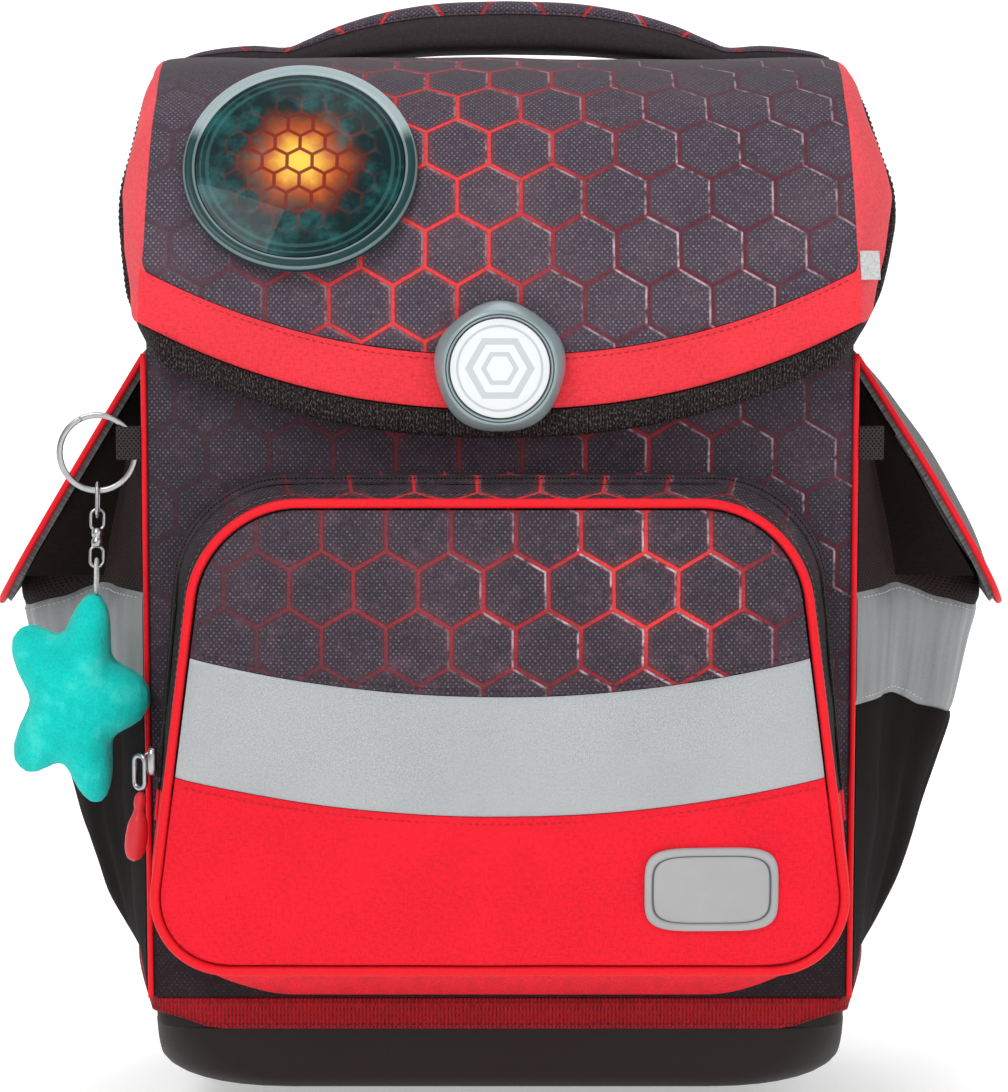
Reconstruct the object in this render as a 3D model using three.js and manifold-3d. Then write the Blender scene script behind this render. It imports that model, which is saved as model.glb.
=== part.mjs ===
// A school ransel: a stiff, box-shaped school backpack that stands on a moulded base.
// Millimetres, +Z up. The front faces -Y and the wearer's back is at +Y.
// The origin is on the underside of the base, below the middle of the body.
import * as THREE from "three";
import Module from "manifold-3d";

const wasm = await Module();
wasm.setup();

// Gap kept between pieces that touch.
const SEAM = 0.3;

// Body: a box that is a little wider at the wearer's back.
const BODY_WIDTH_FRONT = 280;
const BODY_WIDTH_BACK = 294;
const BODY_DEPTH = 176;
const BODY_BACK = 86;
const BODY_FRONT = BODY_BACK - BODY_DEPTH;
const PANEL_WALL = 3;
const EDGE_PIPING_RADIUS = 1.4;
const EDGE_PIPING_TOP = 300;

// Moulded base and the webbing round its rim.
const BASE_HEIGHT = 40;
const BASE_WALL = 3.2;
const BASE_FOOT_INSET = 12;
const BASE_CORNER = 44;
const BASE_FLOOR_FILLET = 2;
const WEBBING_HEIGHT = 12.5;
const WEBBING_WALL = 1.5;
const WEBBING_PROUD = 0.8;
const WEBBING_CORNER = 8;
const WEBBING_SIDE_BULGE = 9.5;
const WEBBING_SIDE_RISE = 8;

// Lid: a curved sheet over the top and the front, with a wing down each side.
const LID_STAND_OFF = 16;
const LID_FRONT = BODY_FRONT - LID_STAND_OFF;
const LID_BACK = BODY_BACK;
const LID_LOW = 268;
const LID_TOP = 416.5;
const LID_OVERHANG = 1.2;
const LID_HALF_WIDTH = BODY_WIDTH_FRONT / 2 + LID_OVERHANG;
const FRONT_PANEL_LAP = 67;
const FRONT_PANEL_TOP = LID_LOW + FRONT_PANEL_LAP;
const LID_WALL = 4;
const HEM_CORNER_RISE = 34;
const LID_BAND_HEIGHT = 21;
const BINDING_WIDTH = 11;
const BINDING_WALL = 5.6;
const WING_DEPTH = 39;
const WING_WALL = 3;
const WING_FLARE_RIGHT = 20;
const WING_FLARE_LEFT = 13.5;

// Grab handle on the back edge of the lid.
const HANDLE_Y = 78;
const HANDLE_DEPTH = 28;
const HANDLE_X = 3;
const HANDLE_HALF_LENGTH = 146;
const HANDLE_TOP = 441;

// Round magnetic lock.
const LOCK_RADIUS = 25.5;
const LOCK_HEIGHT = 9;
const LOCK_CAP_RADIUS = 19.4;
const LOCK_CAP_WALL = 3;
const LOCK_SEAT_RADIUS = 11;
const LOCK_ABOVE_HEM = 28;

// Round badge on the lid.
const BADGE_RADIUS = 46.3;
const BADGE_FACE_RADIUS = 41;
const BADGE_WALL = 4.6;
const BADGE_DOME = 3.4;
const BADGE_X = -78.4;
const BADGE_DOWN_LID = 90.5;

// Small woven label in the seam of the right wing.
const LABEL_WIDTH = 7.5;
const LABEL_HEIGHT = 11.5;
const LABEL_WALL = 0.8;
const LABEL_UP_LID = 62;

// Front pocket: outline on the body (base) and outline of its front (rim).
const POCKET_BASE_LOW = 41.5;
const POCKET_BASE_TOP = 253;
const POCKET_BASE_HALF_LOW = 140.3;
const POCKET_BASE_HALF_TOP = 126;
const POCKET_RIM_LOW = 62;
const POCKET_RIM_TOP = 245;
const POCKET_RIM_HALF_LOW = 134.5;
const POCKET_RIM_HALF_TOP = 117.5;
const POCKET_DEPTH_LOW = 45;
const POCKET_DEPTH_TOP = 40;
const POCKET_CORNER_LOW = 33;
const POCKET_CORNER_TOP = 26;
const POCKET_BASE_CORNER_TOP = 42;
const POCKET_CROWN = 8;
const GUSSET_BULGE_LOW = 6.5;
const GUSSET_BULGE_TOP = 2.5;
const POCKET_WALL = 2.6;
const POCKET_PIPING_RADIUS = 2.1;
const GUSSET_SPLIT = 130;
const BAND_SEAM_HIGH = 185;
const BAND_SEAM_LOW = 138.5;
const BAND_SAG = 14;

// Zip round the top of the pocket gusset, with its slider and pull.
const ZIP_WIDTH = 9;
const ZIP_WALL = 1.1;
const ZIP_END = 118;
const SLIDER_Z = 141;
const SLIDER_LENGTH = 11;
const SLIDER_WIDTH = 7;
const SLIDER_HEIGHT = 3.2;
const PULLER_LENGTH = 13;
const PULLER_WIDTH = 5;
const PULLER_WIRE = 0.9;
const TAB_LENGTH = 28;
const TAB_WIDTH = 9;
const TAB_THICKNESS = 8;
const TAB_LEAN = 3;

// Rubber patch on the pocket.
const PATCH_X = 82;
const PATCH_Z = 95.5;
const PATCH_WIDTH = 52;
const PATCH_HEIGHT = 33;
const PATCH_WALL = 2.2;

// Side pockets: hollow pouches below a stiff flap.
const SIDE_POCKET_FRONT = -84;
const SIDE_POCKET_BACK = 78;
const SIDE_POCKET_BULGE = 56;
const SIDE_POCKET_TOP = 262;
const SIDE_POCKET_WALL = 2.4;
const SIDE_BAND_HIGH = 204;
const SIDE_BAND_LOW = 158.5;
const SIDE_BAND_DROOP = 15.5;
const FLAP_ROOT = 297;
const FLAP_DROP = 109;
const FLAP_REACH = 64;
const FLAP_HALF_LENGTH = 58;
const FLAP_WALL = 3;
const FLAP_CROWN_RIGHT = 8;
const FLAP_CROWN_LEFT = 2.5;
const FLAP_PIPING_RADIUS = 1.4;
const RIVET_RADIUS = 4;
const RIVET_HEIGHT = 2.2;
const RIVET_Z = 56;

// Webbing loops in the front seams, and the key ring with its plush charm on the left one.
const LOOP_Z = 264.5;
const LOOP_Y = -88.4;
const LOOP_HEIGHT = 13;
const LOOP_REACH = 10.2;
const LOOP_THICKNESS = 6;
const LOOP_WALL = 1.3;
const RING_RADIUS = 15;
const RING_WIRE = 1.1;
const LINK_WIRE = 0.75;
const LINK_LENGTH = 12;
const LINK_WIDTH = 6.4;
const LINK_PLAY = 0.4;
const SWIVEL_RADIUS = 2;
const SWIVEL_HEIGHT = 5;
const CHAIN_LEAN = 0.26;
const STAR_RADIUS = 31;
const STAR_THICKNESS = 31;
const STAR_TURN = 0.31;

// Back: pads, shoulder straps and their webbing.
const PAD_WALL = 9;
const PAD_WIDTH = 104;
const PAD_LOW = 62;
const PAD_TOP = 372;
const STRAP_WIDTH = 58;
const STRAP_WALL = 11;
const STRAP_TOP_X = 52;
const STRAP_LOW_X = 74;
const STRAP_TOP = 384;
const STRAP_LOW = 150;
const STRAP_STAND_OFF = 35.3;
const STRAP_WEBBING_WIDTH = 24;
const STRAP_WEBBING_WALL = 1.8;
const STRAP_ANCHOR_X = 112;
const STRAP_ANCHOR_Z = 52;
const ADJUSTER_WIDTH = 36;
const ADJUSTER_HEIGHT = 22;
const ADJUSTER_WALL = 4;

// Colours, roughness and metalness of the materials.
const FINISH = {
  print: [0x2b2830, 0.85, 0],
  red: [0xd61f2e, 0.8, 0],
  binding: [0x24211f, 0.9, 0],
  black: [0x1b1717, 0.9, 0],
  mesh: [0x1d1818, 0.95, 0],
  base: [0x231e1d, 0.6, 0],
  reflective: [0xb4b9be, 0.45, 0.2],
  heather: [0x4b494a, 0.95, 0],
  bezel: [0x84999d, 0.35, 0.2],
  cap: [0xe6e9ec, 0.3, 0],
  badgeRim: [0x1d5b5c, 0.15, 0],
  badgeFace: [0x173a3d, 0.1, 0],
  rubber: [0xdd3340, 0.5, 0],
  patch: [0xa4a8ab, 0.55, 0],
  label: [0xd5d5d5, 0.8, 0],
  metal: [0xc8c8c8, 0.25, 1],
  plush: [0x1fc9b4, 1, 0],
};

const V = (x, y, z) => new THREE.Vector3(x, y, z);
const { lerp, clamp } = THREE.MathUtils;
const shares = (count) => Array.from({ length: count + 1 }, (_, i) => i / count);

const ransel = new THREE.Group();

function add(name, finish, geometry) {
  const [color, roughness, metalness] = FINISH[finish];
  const mesh = new THREE.Mesh(geometry, new THREE.MeshStandardMaterial({ color, roughness, metalness }));
  mesh.name = name;
  ransel.add(mesh);
  return mesh;
}

// Closed geometry from points and triangles, turned to face outwards if its volume comes out negative.
function closedGeometry(points, triangles) {
  let volume = 0;
  for (const [a, b, c] of triangles) {
    volume += points[a].dot(V(0, 0, 0).crossVectors(points[b], points[c]));
  }
  const index = triangles.flatMap(([a, b, c]) => (volume < 0 ? [a, c, b] : [a, b, c]));
  const geometry = new THREE.BufferGeometry();
  const positions = points.flatMap((p) => p.toArray());
  geometry.setAttribute("position", new THREE.Float32BufferAttribute(positions, 3));
  geometry.setIndex(index);
  geometry.computeVertexNormals();
  return geometry;
}

// A wall between two grids of points of the same size. ring joins the last column to the first.
function wallBetween(outer, inner, ring = false) {
  const rows = outer.length;
  const columns = outer[0].length;
  const points = [...outer.flat(), ...inner.flat()];
  const at = (side, i, j) => side * rows * columns + i * columns + (j % columns);
  const triangles = [];
  const quad = (a, b, c, d) => triangles.push([a, b, c], [a, c, d]);
  const spans = ring ? columns : columns - 1;
  for (let i = 0; i < rows - 1; i++) {
    for (let j = 0; j < spans; j++) {
      quad(at(0, i, j), at(0, i, j + 1), at(0, i + 1, j + 1), at(0, i + 1, j));
      quad(at(1, i, j), at(1, i + 1, j), at(1, i + 1, j + 1), at(1, i, j + 1));
    }
  }
  for (let j = 0; j < spans; j++) {
    quad(at(0, 0, j), at(1, 0, j), at(1, 0, j + 1), at(0, 0, j + 1));
    quad(at(0, rows - 1, j), at(0, rows - 1, j + 1), at(1, rows - 1, j + 1), at(1, rows - 1, j));
  }
  for (let i = 0; i < rows - 1 && !ring; i++) {
    quad(at(0, i, 0), at(0, i + 1, 0), at(1, i + 1, 0), at(1, i, 0));
    const last = columns - 1;
    quad(at(0, i, last), at(1, i, last), at(1, i + 1, last), at(0, i + 1, last));
  }
  return closedGeometry(points, triangles);
}

// Cloth of one thickness whose outer face is surface(u, v), with normal(u, v) pointing out of it.
function cloth(surface, normal, columns, rows, thickness) {
  const outer = shares(rows).map((v) => shares(columns).map((u) => surface(u, v)));
  const inner = outer.map((row, i) =>
    row.map((p, j) => p.clone().addScaledVector(normal(j / columns, i / rows), -thickness)),
  );
  return wallBetween(outer, inner);
}

// A solid through closed loops of points, with a fan over the first and the last loop.
function loft(loops, closed = false) {
  const count = loops[0].length;
  const points = loops.flat();
  const triangles = [];
  const spans = closed ? loops.length : loops.length - 1;
  for (let i = 0; i < spans; i++) {
    const next = ((i + 1) % loops.length) * count;
    for (let j = 0; j < count; j++) {
      const k = (j + 1) % count;
      triangles.push([i * count + j, i * count + k, next + k], [i * count + j, next + k, next + j]);
    }
  }
  if (!closed) {
    for (const [start, turn] of [[0, 1], [(loops.length - 1) * count, 0]]) {
      const middle = points.length;
      const loop = points.slice(start, start + count);
      points.push(loop.reduce((sum, p) => sum.add(p), V(0, 0, 0)).divideScalar(count));
      for (let j = 0; j < count; j++) {
        const k = (j + 1) % count;
        triangles.push(turn ? [middle, start + k, start + j] : [middle, start + j, start + k]);
      }
    }
  }
  return closedGeometry(points, triangles);
}

// A round cord through points. Its sections are laid out from the direction up, which it never follows.
function roundCord(path, radius, sides, up, closed = false) {
  const last = path.length - 1;
  const sections = path.map((p, i) => {
    const before = closed ? path.at(i - 1) : path[Math.max(i - 1, 0)];
    const after = closed ? path[(i + 1) % path.length] : path[Math.min(i + 1, last)];
    const side = after.clone().sub(before).cross(up).normalize();
    const across = side.clone().cross(after.clone().sub(before)).normalize();
    return shares(sides).slice(0, -1).map((t) => {
      const a = t * 2 * Math.PI;
      const offset = side.clone().multiplyScalar(radius * Math.cos(a));
      return offset.addScaledVector(across, radius * Math.sin(a)).add(p);
    });
  });
  return loft(sections, closed);
}

// A value between the rows of a table whose column at rises.
function fromTable(table, at, column) {
  const next = table.findIndex((row) => row.at >= at);
  if (next < 0) return table.at(-1)[column];
  if (next === 0) return table[0][column];
  const [a, b] = [table[next - 1], table[next]];
  return lerp(a[column], b[column], (at - a.at) / (b.at - a.at));
}

// Half the body's width at a depth.
function sideX(y) {
  return lerp(BODY_WIDTH_FRONT, BODY_WIDTH_BACK, (y - BODY_FRONT) / (BODY_BACK - BODY_FRONT)) / 2;
}

// How the webbing swings along the side, from 0 at its corners to 1 halfway.
function sideSwing(y) {
  const front = BODY_FRONT + WEBBING_CORNER;
  const back = BODY_BACK - WEBBING_CORNER;
  return Math.max(Math.sin((Math.PI * (y - front)) / (back - front)), 0);
}

// A loop round the body with rounded corners, inset from its outline. Its sides may swing out and up.
function bodyLoop(z, inset, corner, bulge = 0, rise = 0) {
  const cornerSteps = 4;
  const sideSteps = bulge > 0 ? 6 : 2;
  const front = BODY_FRONT + inset;
  const back = BODY_BACK - inset;
  const right = [];
  for (const s of shares(cornerSteps)) {
    const a = ((s - 1) * Math.PI) / 2;
    const y = front + corner * (1 + Math.sin(a));
    right.push([sideX(y) - inset - corner * (1 - Math.cos(a)), y]);
  }
  for (const s of shares(sideSteps).slice(1, -1)) {
    const y = lerp(front + corner, back - corner, s);
    right.push([sideX(y) - inset + bulge * sideSwing(y), y]);
  }
  for (const s of shares(cornerSteps)) {
    const a = (s * Math.PI) / 2;
    const y = back - corner * (1 - Math.sin(a));
    right.push([sideX(y) - inset - corner * (1 - Math.cos(a)), y]);
  }
  const lifted = right.map(([x, y]) => [x, y, z + rise * sideSwing(y)]);
  const rightHalf = lifted.map(([x, y, up]) => V(x, y, up));
  const leftHalf = lifted.reverse().map(([x, y, up]) => V(-x, y, up));
  return [...rightHalf, ...leftHalf];
}

// Lid profile from the hem to the back edge: shares of the lid's depth and height.
const LID_PROFILE = [
  { back: 0.0, up: 0.0 }, { back: 0.0, up: 0.148 }, { back: 0.005, up: 0.28 },
  { back: 0.023, up: 0.428 }, { back: 0.062, up: 0.564 }, { back: 0.115, up: 0.697 },
  { back: 0.182, up: 0.818 }, { back: 0.276, up: 0.908 }, { back: 0.38, up: 0.969 },
  { back: 0.51, up: 0.997 }, { back: 0.682, up: 1.0 }, { back: 0.844, up: 0.987 },
  { back: 1.0, up: 0.966 },
];
const lidCurve = new THREE.CatmullRomCurve3(
  LID_PROFILE.map(({ back, up }) => V(0, lerp(LID_FRONT, LID_BACK, back), lerp(LID_LOW, LID_TOP, up))),
  false,
  "centripetal",
);
lidCurve.arcLengthDivisions = 400;
const LID_LENGTH = lidCurve.getLength();

// Along the lid: its half width, the wing's depth and the wing's flare, each as a share of the full size.
const LID_SECTIONS = [
  { at: 0.0, width: 1.0, wing: 0.28, flare: 0.06 },
  { at: 0.12, width: 1.0, wing: 0.38, flare: 0.16 },
  { at: 0.2, width: 0.997, wing: 0.8, flare: 0.42 },
  { at: 0.28, width: 0.992, wing: 0.97, flare: 0.74 },
  { at: 0.38, width: 0.985, wing: 1.0, flare: 1.0 },
  { at: 0.5, width: 0.98, wing: 0.86, flare: 0.74 },
  { at: 0.62, width: 0.985, wing: 0.6, flare: 0.45 },
  { at: 0.8, width: 1.005, wing: 0.55, flare: 0.34 },
  { at: 1.0, width: 1.032, wing: 0.55, flare: 0.28 },
];

// The lid's outward normal at a distance along its profile.
function lidNormal(s) {
  const tangent = lidCurve.getTangentAt(clamp(s / LID_LENGTH, 0, 1));
  return V(0, -tangent.z, tangent.y);
}

function lidHalfWidth(s) {
  return LID_HALF_WIDTH * fromTable(LID_SECTIONS, s / LID_LENGTH, "width");
}

// A point of the lid's outer face: side from -1 to 1 across, s along the profile.
function lidPoint(side, s, proud = 0) {
  const p = lidCurve.getPointAt(clamp(s / LID_LENGTH, 0, 1));
  return p.addScaledVector(lidNormal(s), proud).setX(side * lidHalfWidth(s));
}

// How far the hem has risen along the profile at a share of the width.
function hemRise(side) {
  return HEM_CORNER_RISE * Math.abs(side) ** 2.2;
}

function wingFlare(hand) {
  return hand > 0 ? WING_FLARE_RIGHT : WING_FLARE_LEFT;
}

// A point of a wing's outer face: across 0 at the lid's side seam and 1 at the free edge.
function wingPoint(hand, across, s) {
  const at = s / LID_LENGTH;
  const depth = WING_DEPTH * fromTable(LID_SECTIONS, at, "wing") * across;
  const flare = wingFlare(hand) * fromTable(LID_SECTIONS, at, "flare") * (1 - (1 - across) ** 2);
  const p = lidPoint(hand, s).addScaledVector(lidNormal(s), -depth);
  p.x += hand * flare;
  return p;
}

// A wing's outward normal.
function wingNormal(hand, across, s) {
  const step = 0.5;
  const before = wingPoint(hand, across, s - step);
  const along = wingPoint(hand, across, Math.min(s + step, LID_LENGTH)).sub(before);
  const down = wingPoint(hand, across + 0.02, s).sub(wingPoint(hand, across - 0.02, s));
  const normal = along.cross(down).normalize();
  return normal.x * hand < 0 ? normal.negate() : normal;
}

// The share of a wing's depth at a distance in from its free edge (or down from the lid's face).
function wingShare(s, distance) {
  return distance / (WING_DEPTH * fromTable(LID_SECTIONS, s / LID_LENGTH, "wing"));
}

const BAND_START = BINDING_WIDTH + SEAM;
const PANEL_START = BAND_START + LID_BAND_HEIGHT + SEAM;
const WING_START = HEM_CORNER_RISE + BINDING_WIDTH + SEAM;
const WING_ROWS = 13;
const wingRow = (v) => lerp(WING_START, LID_LENGTH, v);

function lidStrip(from, to, columns, rows) {
  const at = (u, v) => lerp(from(2 * u - 1), to(2 * u - 1), v);
  const surface = (u, v) => lidPoint(2 * u - 1, at(u, v));
  return cloth(surface, (u, v) => lidNormal(at(u, v)), columns, rows, LID_WALL);
}

function makeLid() {
  add("lid_panel", "print", lidStrip((a) => hemRise(a) + PANEL_START, () => LID_LENGTH, 10, 12));
  const bandLow = (a) => hemRise(a) + BAND_START;
  add("lid_band", "red", lidStrip(bandLow, (a) => hemRise(a) + PANEL_START - SEAM, 10, 2));
  for (const [hand, name] of [[-1, "left"], [1, "right"]]) {
    const across = (u, s) => lerp(wingShare(s, LID_WALL + SEAM), 1 - wingShare(s, BINDING_WIDTH), u);
    const surface = (u, v) => wingPoint(hand, across(u, wingRow(v)), wingRow(v));
    const normal = (u, v) => wingNormal(hand, across(u, wingRow(v)), wingRow(v));
    add(`lid_wing_${name}`, "red", cloth(surface, normal, 3, WING_ROWS, WING_WALL));
  }
}

// Cross-section of the binding from its inner edge to its free edge.
function bindingSection(inner, outer, normal) {
  const width = outer.clone().sub(inner);
  const gap = SEAM / width.length();
  return [[gap, 0], [gap, 0.88], [0.3, 1], [0.8, 0.95], [1, 0.6], [0.95, 0.05]].map(([across, through]) =>
    inner.clone().addScaledVector(width, across).addScaledVector(normal, through * BINDING_WALL - LID_WALL),
  );
}

// The black binding runs down the left wing, along the hem and up the right wing as one tape.
function makeBinding() {
  const wingSections = (hand) =>
    shares(WING_ROWS).map(wingRow).map((s) => {
      const free = 1 - wingShare(s, BINDING_WIDTH);
      return bindingSection(wingPoint(hand, free, s), wingPoint(hand, 1, s), wingNormal(hand, free, s));
    });
  const hemEnd = 0.975;
  const hemSections = shares(16).map((u) => {
    const side = lerp(-hemEnd, hemEnd, u);
    const rise = hemRise(side);
    return bindingSection(lidPoint(side, rise + BINDING_WIDTH), lidPoint(side, rise), lidNormal(rise));
  });
  add("lid_binding", "binding", loft([...wingSections(-1).reverse(), ...hemSections, ...wingSections(1)]));
}

function makeBody() {
  const panelLow = BASE_HEIGHT + SEAM;
  const edge = EDGE_PIPING_RADIUS + SEAM;
  const halfFront = BODY_WIDTH_FRONT / 2 - edge;
  const front = new THREE.BoxGeometry(2 * halfFront, PANEL_WALL, FRONT_PANEL_TOP - panelLow);
  const frontMesh = add("front_panel", "print", front);
  frontMesh.position.set(0, BODY_FRONT + PANEL_WALL / 2, (FRONT_PANEL_TOP + panelLow) / 2);

  // The side panels stop short of the lid all along its profile.
  const rimDrop = 28;
  const sideFront = BODY_FRONT + PANEL_WALL + SEAM;
  const sideBack = BODY_BACK - PANEL_WALL - SEAM;
  const rim = shares(40)
    .map((t) => lidCurve.getPointAt(t))
    .filter((p) => p.y > sideFront && p.y < sideBack && p.z > FRONT_PANEL_TOP + rimDrop)
    .filter((_, i) => i % 3 === 0)
    .map((p) => [p.y, p.z - rimDrop]);
  const sideLow = panelLow + 1;
  const sideOutline = [
    [sideFront, sideLow],
    [sideFront, FRONT_PANEL_TOP - 4],
    ...rim,
    [sideBack, LID_TOP - rimDrop],
    [sideBack, sideLow],
  ];
  for (const [hand, name] of [[-1, "left"], [1, "right"]]) {
    const outer = sideOutline.map(([y, z]) => V(hand * sideX(y), y, z));
    const inner = sideOutline.map(([y, z]) => V(hand * (sideX(y) - PANEL_WALL), y, z));
    add(`side_panel_${name}`, "black", loft([outer, inner]));
    const low = V(hand * (BODY_WIDTH_FRONT / 2), BODY_FRONT, panelLow);
    const edgeCord = roundCord([low, low.clone().setZ(EDGE_PIPING_TOP)], EDGE_PIPING_RADIUS, 8, V(0, 1, 0));
    add(`edge_piping_${name}`, "red", edgeCord);
  }

  const backHalf = BODY_WIDTH_BACK / 2 - SEAM;
  const backTop = lerp(LID_LOW, LID_TOP, LID_PROFILE.at(-1).up) - LID_WALL - SEAM;
  const shoulder = LID_TOP - rimDrop - SEAM;
  const underWing = lidHalfWidth(LID_LENGTH) - WING_WALL - 2 * SEAM;
  const backShape = new THREE.Shape();
  backShape.moveTo(-backHalf, panelLow);
  backShape.lineTo(backHalf, panelLow);
  backShape.lineTo(backHalf, shoulder);
  backShape.lineTo(underWing, shoulder);
  backShape.lineTo(underWing, backTop);
  backShape.lineTo(-underWing, backTop);
  backShape.lineTo(-underWing, shoulder);
  backShape.lineTo(-backHalf, shoulder);
  const back = new THREE.ExtrudeGeometry(backShape, { depth: PANEL_WALL, bevelEnabled: false });
  back.rotateX(Math.PI / 2);
  add("back_panel", "black", back).position.y = BODY_BACK;
}

// Base sections from the underside to the rim: shares of its height, foot inset and corner radius.
const BASE_OUTSIDE = [
  { up: 0.0, inset: 1.0, corner: 1.0 },
  { up: 0.05, inset: 0.54, corner: 1.0 },
  { up: 0.16, inset: 0.18, corner: 0.95 },
  { up: 0.34, inset: 0.05, corner: 0.77 },
  { up: 0.66, inset: 0.033, corner: 0.45 },
];

function makeBase() {
  const rimInset = WEBBING_WALL - WEBBING_PROUD + SEAM;
  const webbingLow = BASE_HEIGHT - WEBBING_HEIGHT;
  const section = ({ up, inset, corner }, z = up * BASE_HEIGHT, wall = 0) =>
    bodyLoop(z, inset * BASE_FOOT_INSET + wall, corner * BASE_CORNER);
  const [foot, , low, waist] = BASE_OUTSIDE;
  const loops = [
    ...BASE_OUTSIDE.map((row) => section(row)),
    bodyLoop(webbingLow, rimInset, WEBBING_CORNER + 4),
    bodyLoop(BASE_HEIGHT, rimInset, WEBBING_CORNER - rimInset),
    bodyLoop(BASE_HEIGHT, rimInset + BASE_WALL, WEBBING_CORNER - rimInset),
    section(waist, waist.up * BASE_HEIGHT, BASE_WALL),
    section(low, BASE_WALL + BASE_FLOOR_FILLET, 2.5 * BASE_WALL),
    section(foot, BASE_WALL, BASE_WALL),
  ];
  add("base_tray", "base", loft(loops));

  const webbing = (inset) =>
    [webbingLow, BASE_HEIGHT].map((z) =>
      bodyLoop(z, inset, WEBBING_CORNER, WEBBING_SIDE_BULGE, WEBBING_SIDE_RISE));
  const [outer, inner] = [webbing(-WEBBING_PROUD), webbing(WEBBING_WALL - WEBBING_PROUD)];
  add("base_webbing", "red", wallBetween(outer, inner, true));
}

// Half length and shape of the handle: shares of its half length, of its rise, and of its depth.
const HANDLE_SECTIONS = [
  { at: 0.0, top: 1.0, low: 0.24, deep: 1.0 }, { at: 0.2, top: 0.96, low: 0.22, deep: 1.0 },
  { at: 0.36, top: 0.83, low: 0.16, deep: 0.98 }, { at: 0.5, top: 0.62, low: 0.08, deep: 0.95 },
  { at: 0.6, top: 0.4, low: 0.01, deep: 0.9 }, { at: 0.66, top: 0.29, low: 0.0, deep: 0.86 },
  { at: 0.76, top: 0.32, low: 0.0, deep: 0.8 }, { at: 0.9, top: 0.24, low: 0.0, deep: 0.7 },
  { at: 1.0, top: 0.06, low: 0.0, deep: 0.5 },
];

function makeHandle() {
  // It rests on the lid, and leans as the lid does there.
  const under = LID_LENGTH - (LID_BACK - HANDLE_Y);
  const seat = lidPoint(0, under).z + 2 * SEAM;
  const slope = -lidNormal(under).y / lidNormal(under).z;
  const rise = HANDLE_TOP - seat;
  const outline = [
    [-1, 0], [-0.86, 0.72], [-0.45, 1], [0.45, 1], [0.86, 0.72],
    [1, 0], [0.86, -0.8], [0, -1], [-0.86, -0.8],
  ];
  const section = (x) => {
    const at = Math.abs(x) / HANDLE_HALF_LENGTH;
    const top = rise * fromTable(HANDLE_SECTIONS, at, "top");
    const low = rise * fromTable(HANDLE_SECTIONS, at, "low");
    const half = (HANDLE_DEPTH / 2) * fromTable(HANDLE_SECTIONS, at, "deep");
    const middle = seat + (top + low) / 2;
    return outline.map(([a, b]) =>
      V(HANDLE_X + x, HANDLE_Y + a * half, middle + (b * (top - low)) / 2 + slope * a * half));
  };
  const right = HANDLE_SECTIONS.map(({ at }) => at * HANDLE_HALF_LENGTH);
  add("handle", "print", loft([...right.slice(1).map((x) => -x).reverse(), ...right].map(section)));
}

// Turns a geometry made round +Z so that +Z points along an axis, and moves it to a point.
function place(geometry, axis, point) {
  geometry.applyQuaternion(new THREE.Quaternion().setFromUnitVectors(V(0, 0, 1), axis.clone().normalize()));
  return geometry.translate(point.x, point.y, point.z);
}

// A turned solid from a profile of [radius, height] pairs, round +Z.
function turned(profile, segments) {
  const lathe = new THREE.LatheGeometry(profile.map(([r, h]) => new THREE.Vector2(r, h)), segments);
  return lathe.rotateX(Math.PI / 2);
}

function makeLock() {
  const lobes = 5;
  const lobeShare = 0.02;
  const segments = 35;
  const backY = LID_FRONT - (BINDING_WALL - LID_WALL) - SEAM;
  const z = LID_LOW + LOCK_ABOVE_HEM;
  const inner = LOCK_CAP_RADIUS + SEAM;
  const ring = (radius, out, lobed) =>
    shares(segments).slice(0, -1).map((t) => {
      const a = t * 2 * Math.PI;
      const r = radius * (1 + lobed * lobeShare * Math.cos(lobes * (a - Math.PI / 2)));
      return V(r * Math.cos(a), backY - out, z + r * Math.sin(a));
    });
  const bezel = [
    ring(LOCK_RADIUS * 0.97, 0, 1),
    ring(LOCK_RADIUS, LOCK_HEIGHT * 0.3, 1),
    ring(LOCK_RADIUS * 0.93, LOCK_HEIGHT * 0.75, 1),
    ring(LOCK_RADIUS * 0.84, LOCK_HEIGHT, 0.4),
    ring(inner, LOCK_HEIGHT * 0.98, 0),
    ring(inner, 0, 0),
  ];
  add("lock_bezel", "bezel", loft(bezel, true));
  const cap = turned(
    [[0, 0], [LOCK_CAP_RADIUS, 0], [LOCK_CAP_RADIUS, LOCK_HEIGHT - LOCK_CAP_WALL * 0.5],
      [LOCK_CAP_RADIUS * 0.96, LOCK_HEIGHT - 0.6], [0, LOCK_HEIGHT]],
    28,
  );
  add("lock_cap", "cap", place(cap, V(0, -1, 0), V(0, backY, z)));
  const seatDepth = BODY_FRONT - SEAM - (LID_FRONT + LID_WALL + 3 * SEAM);
  const seatProfile = [[0, 0], [LOCK_SEAT_RADIUS, 0], [LOCK_SEAT_RADIUS * 0.9, seatDepth], [0, seatDepth]];
  const seat = turned(seatProfile, 24);
  add("lock_seat", "base", place(seat, V(0, -1, 0), V(0, BODY_FRONT - SEAM, z)));
}

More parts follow.
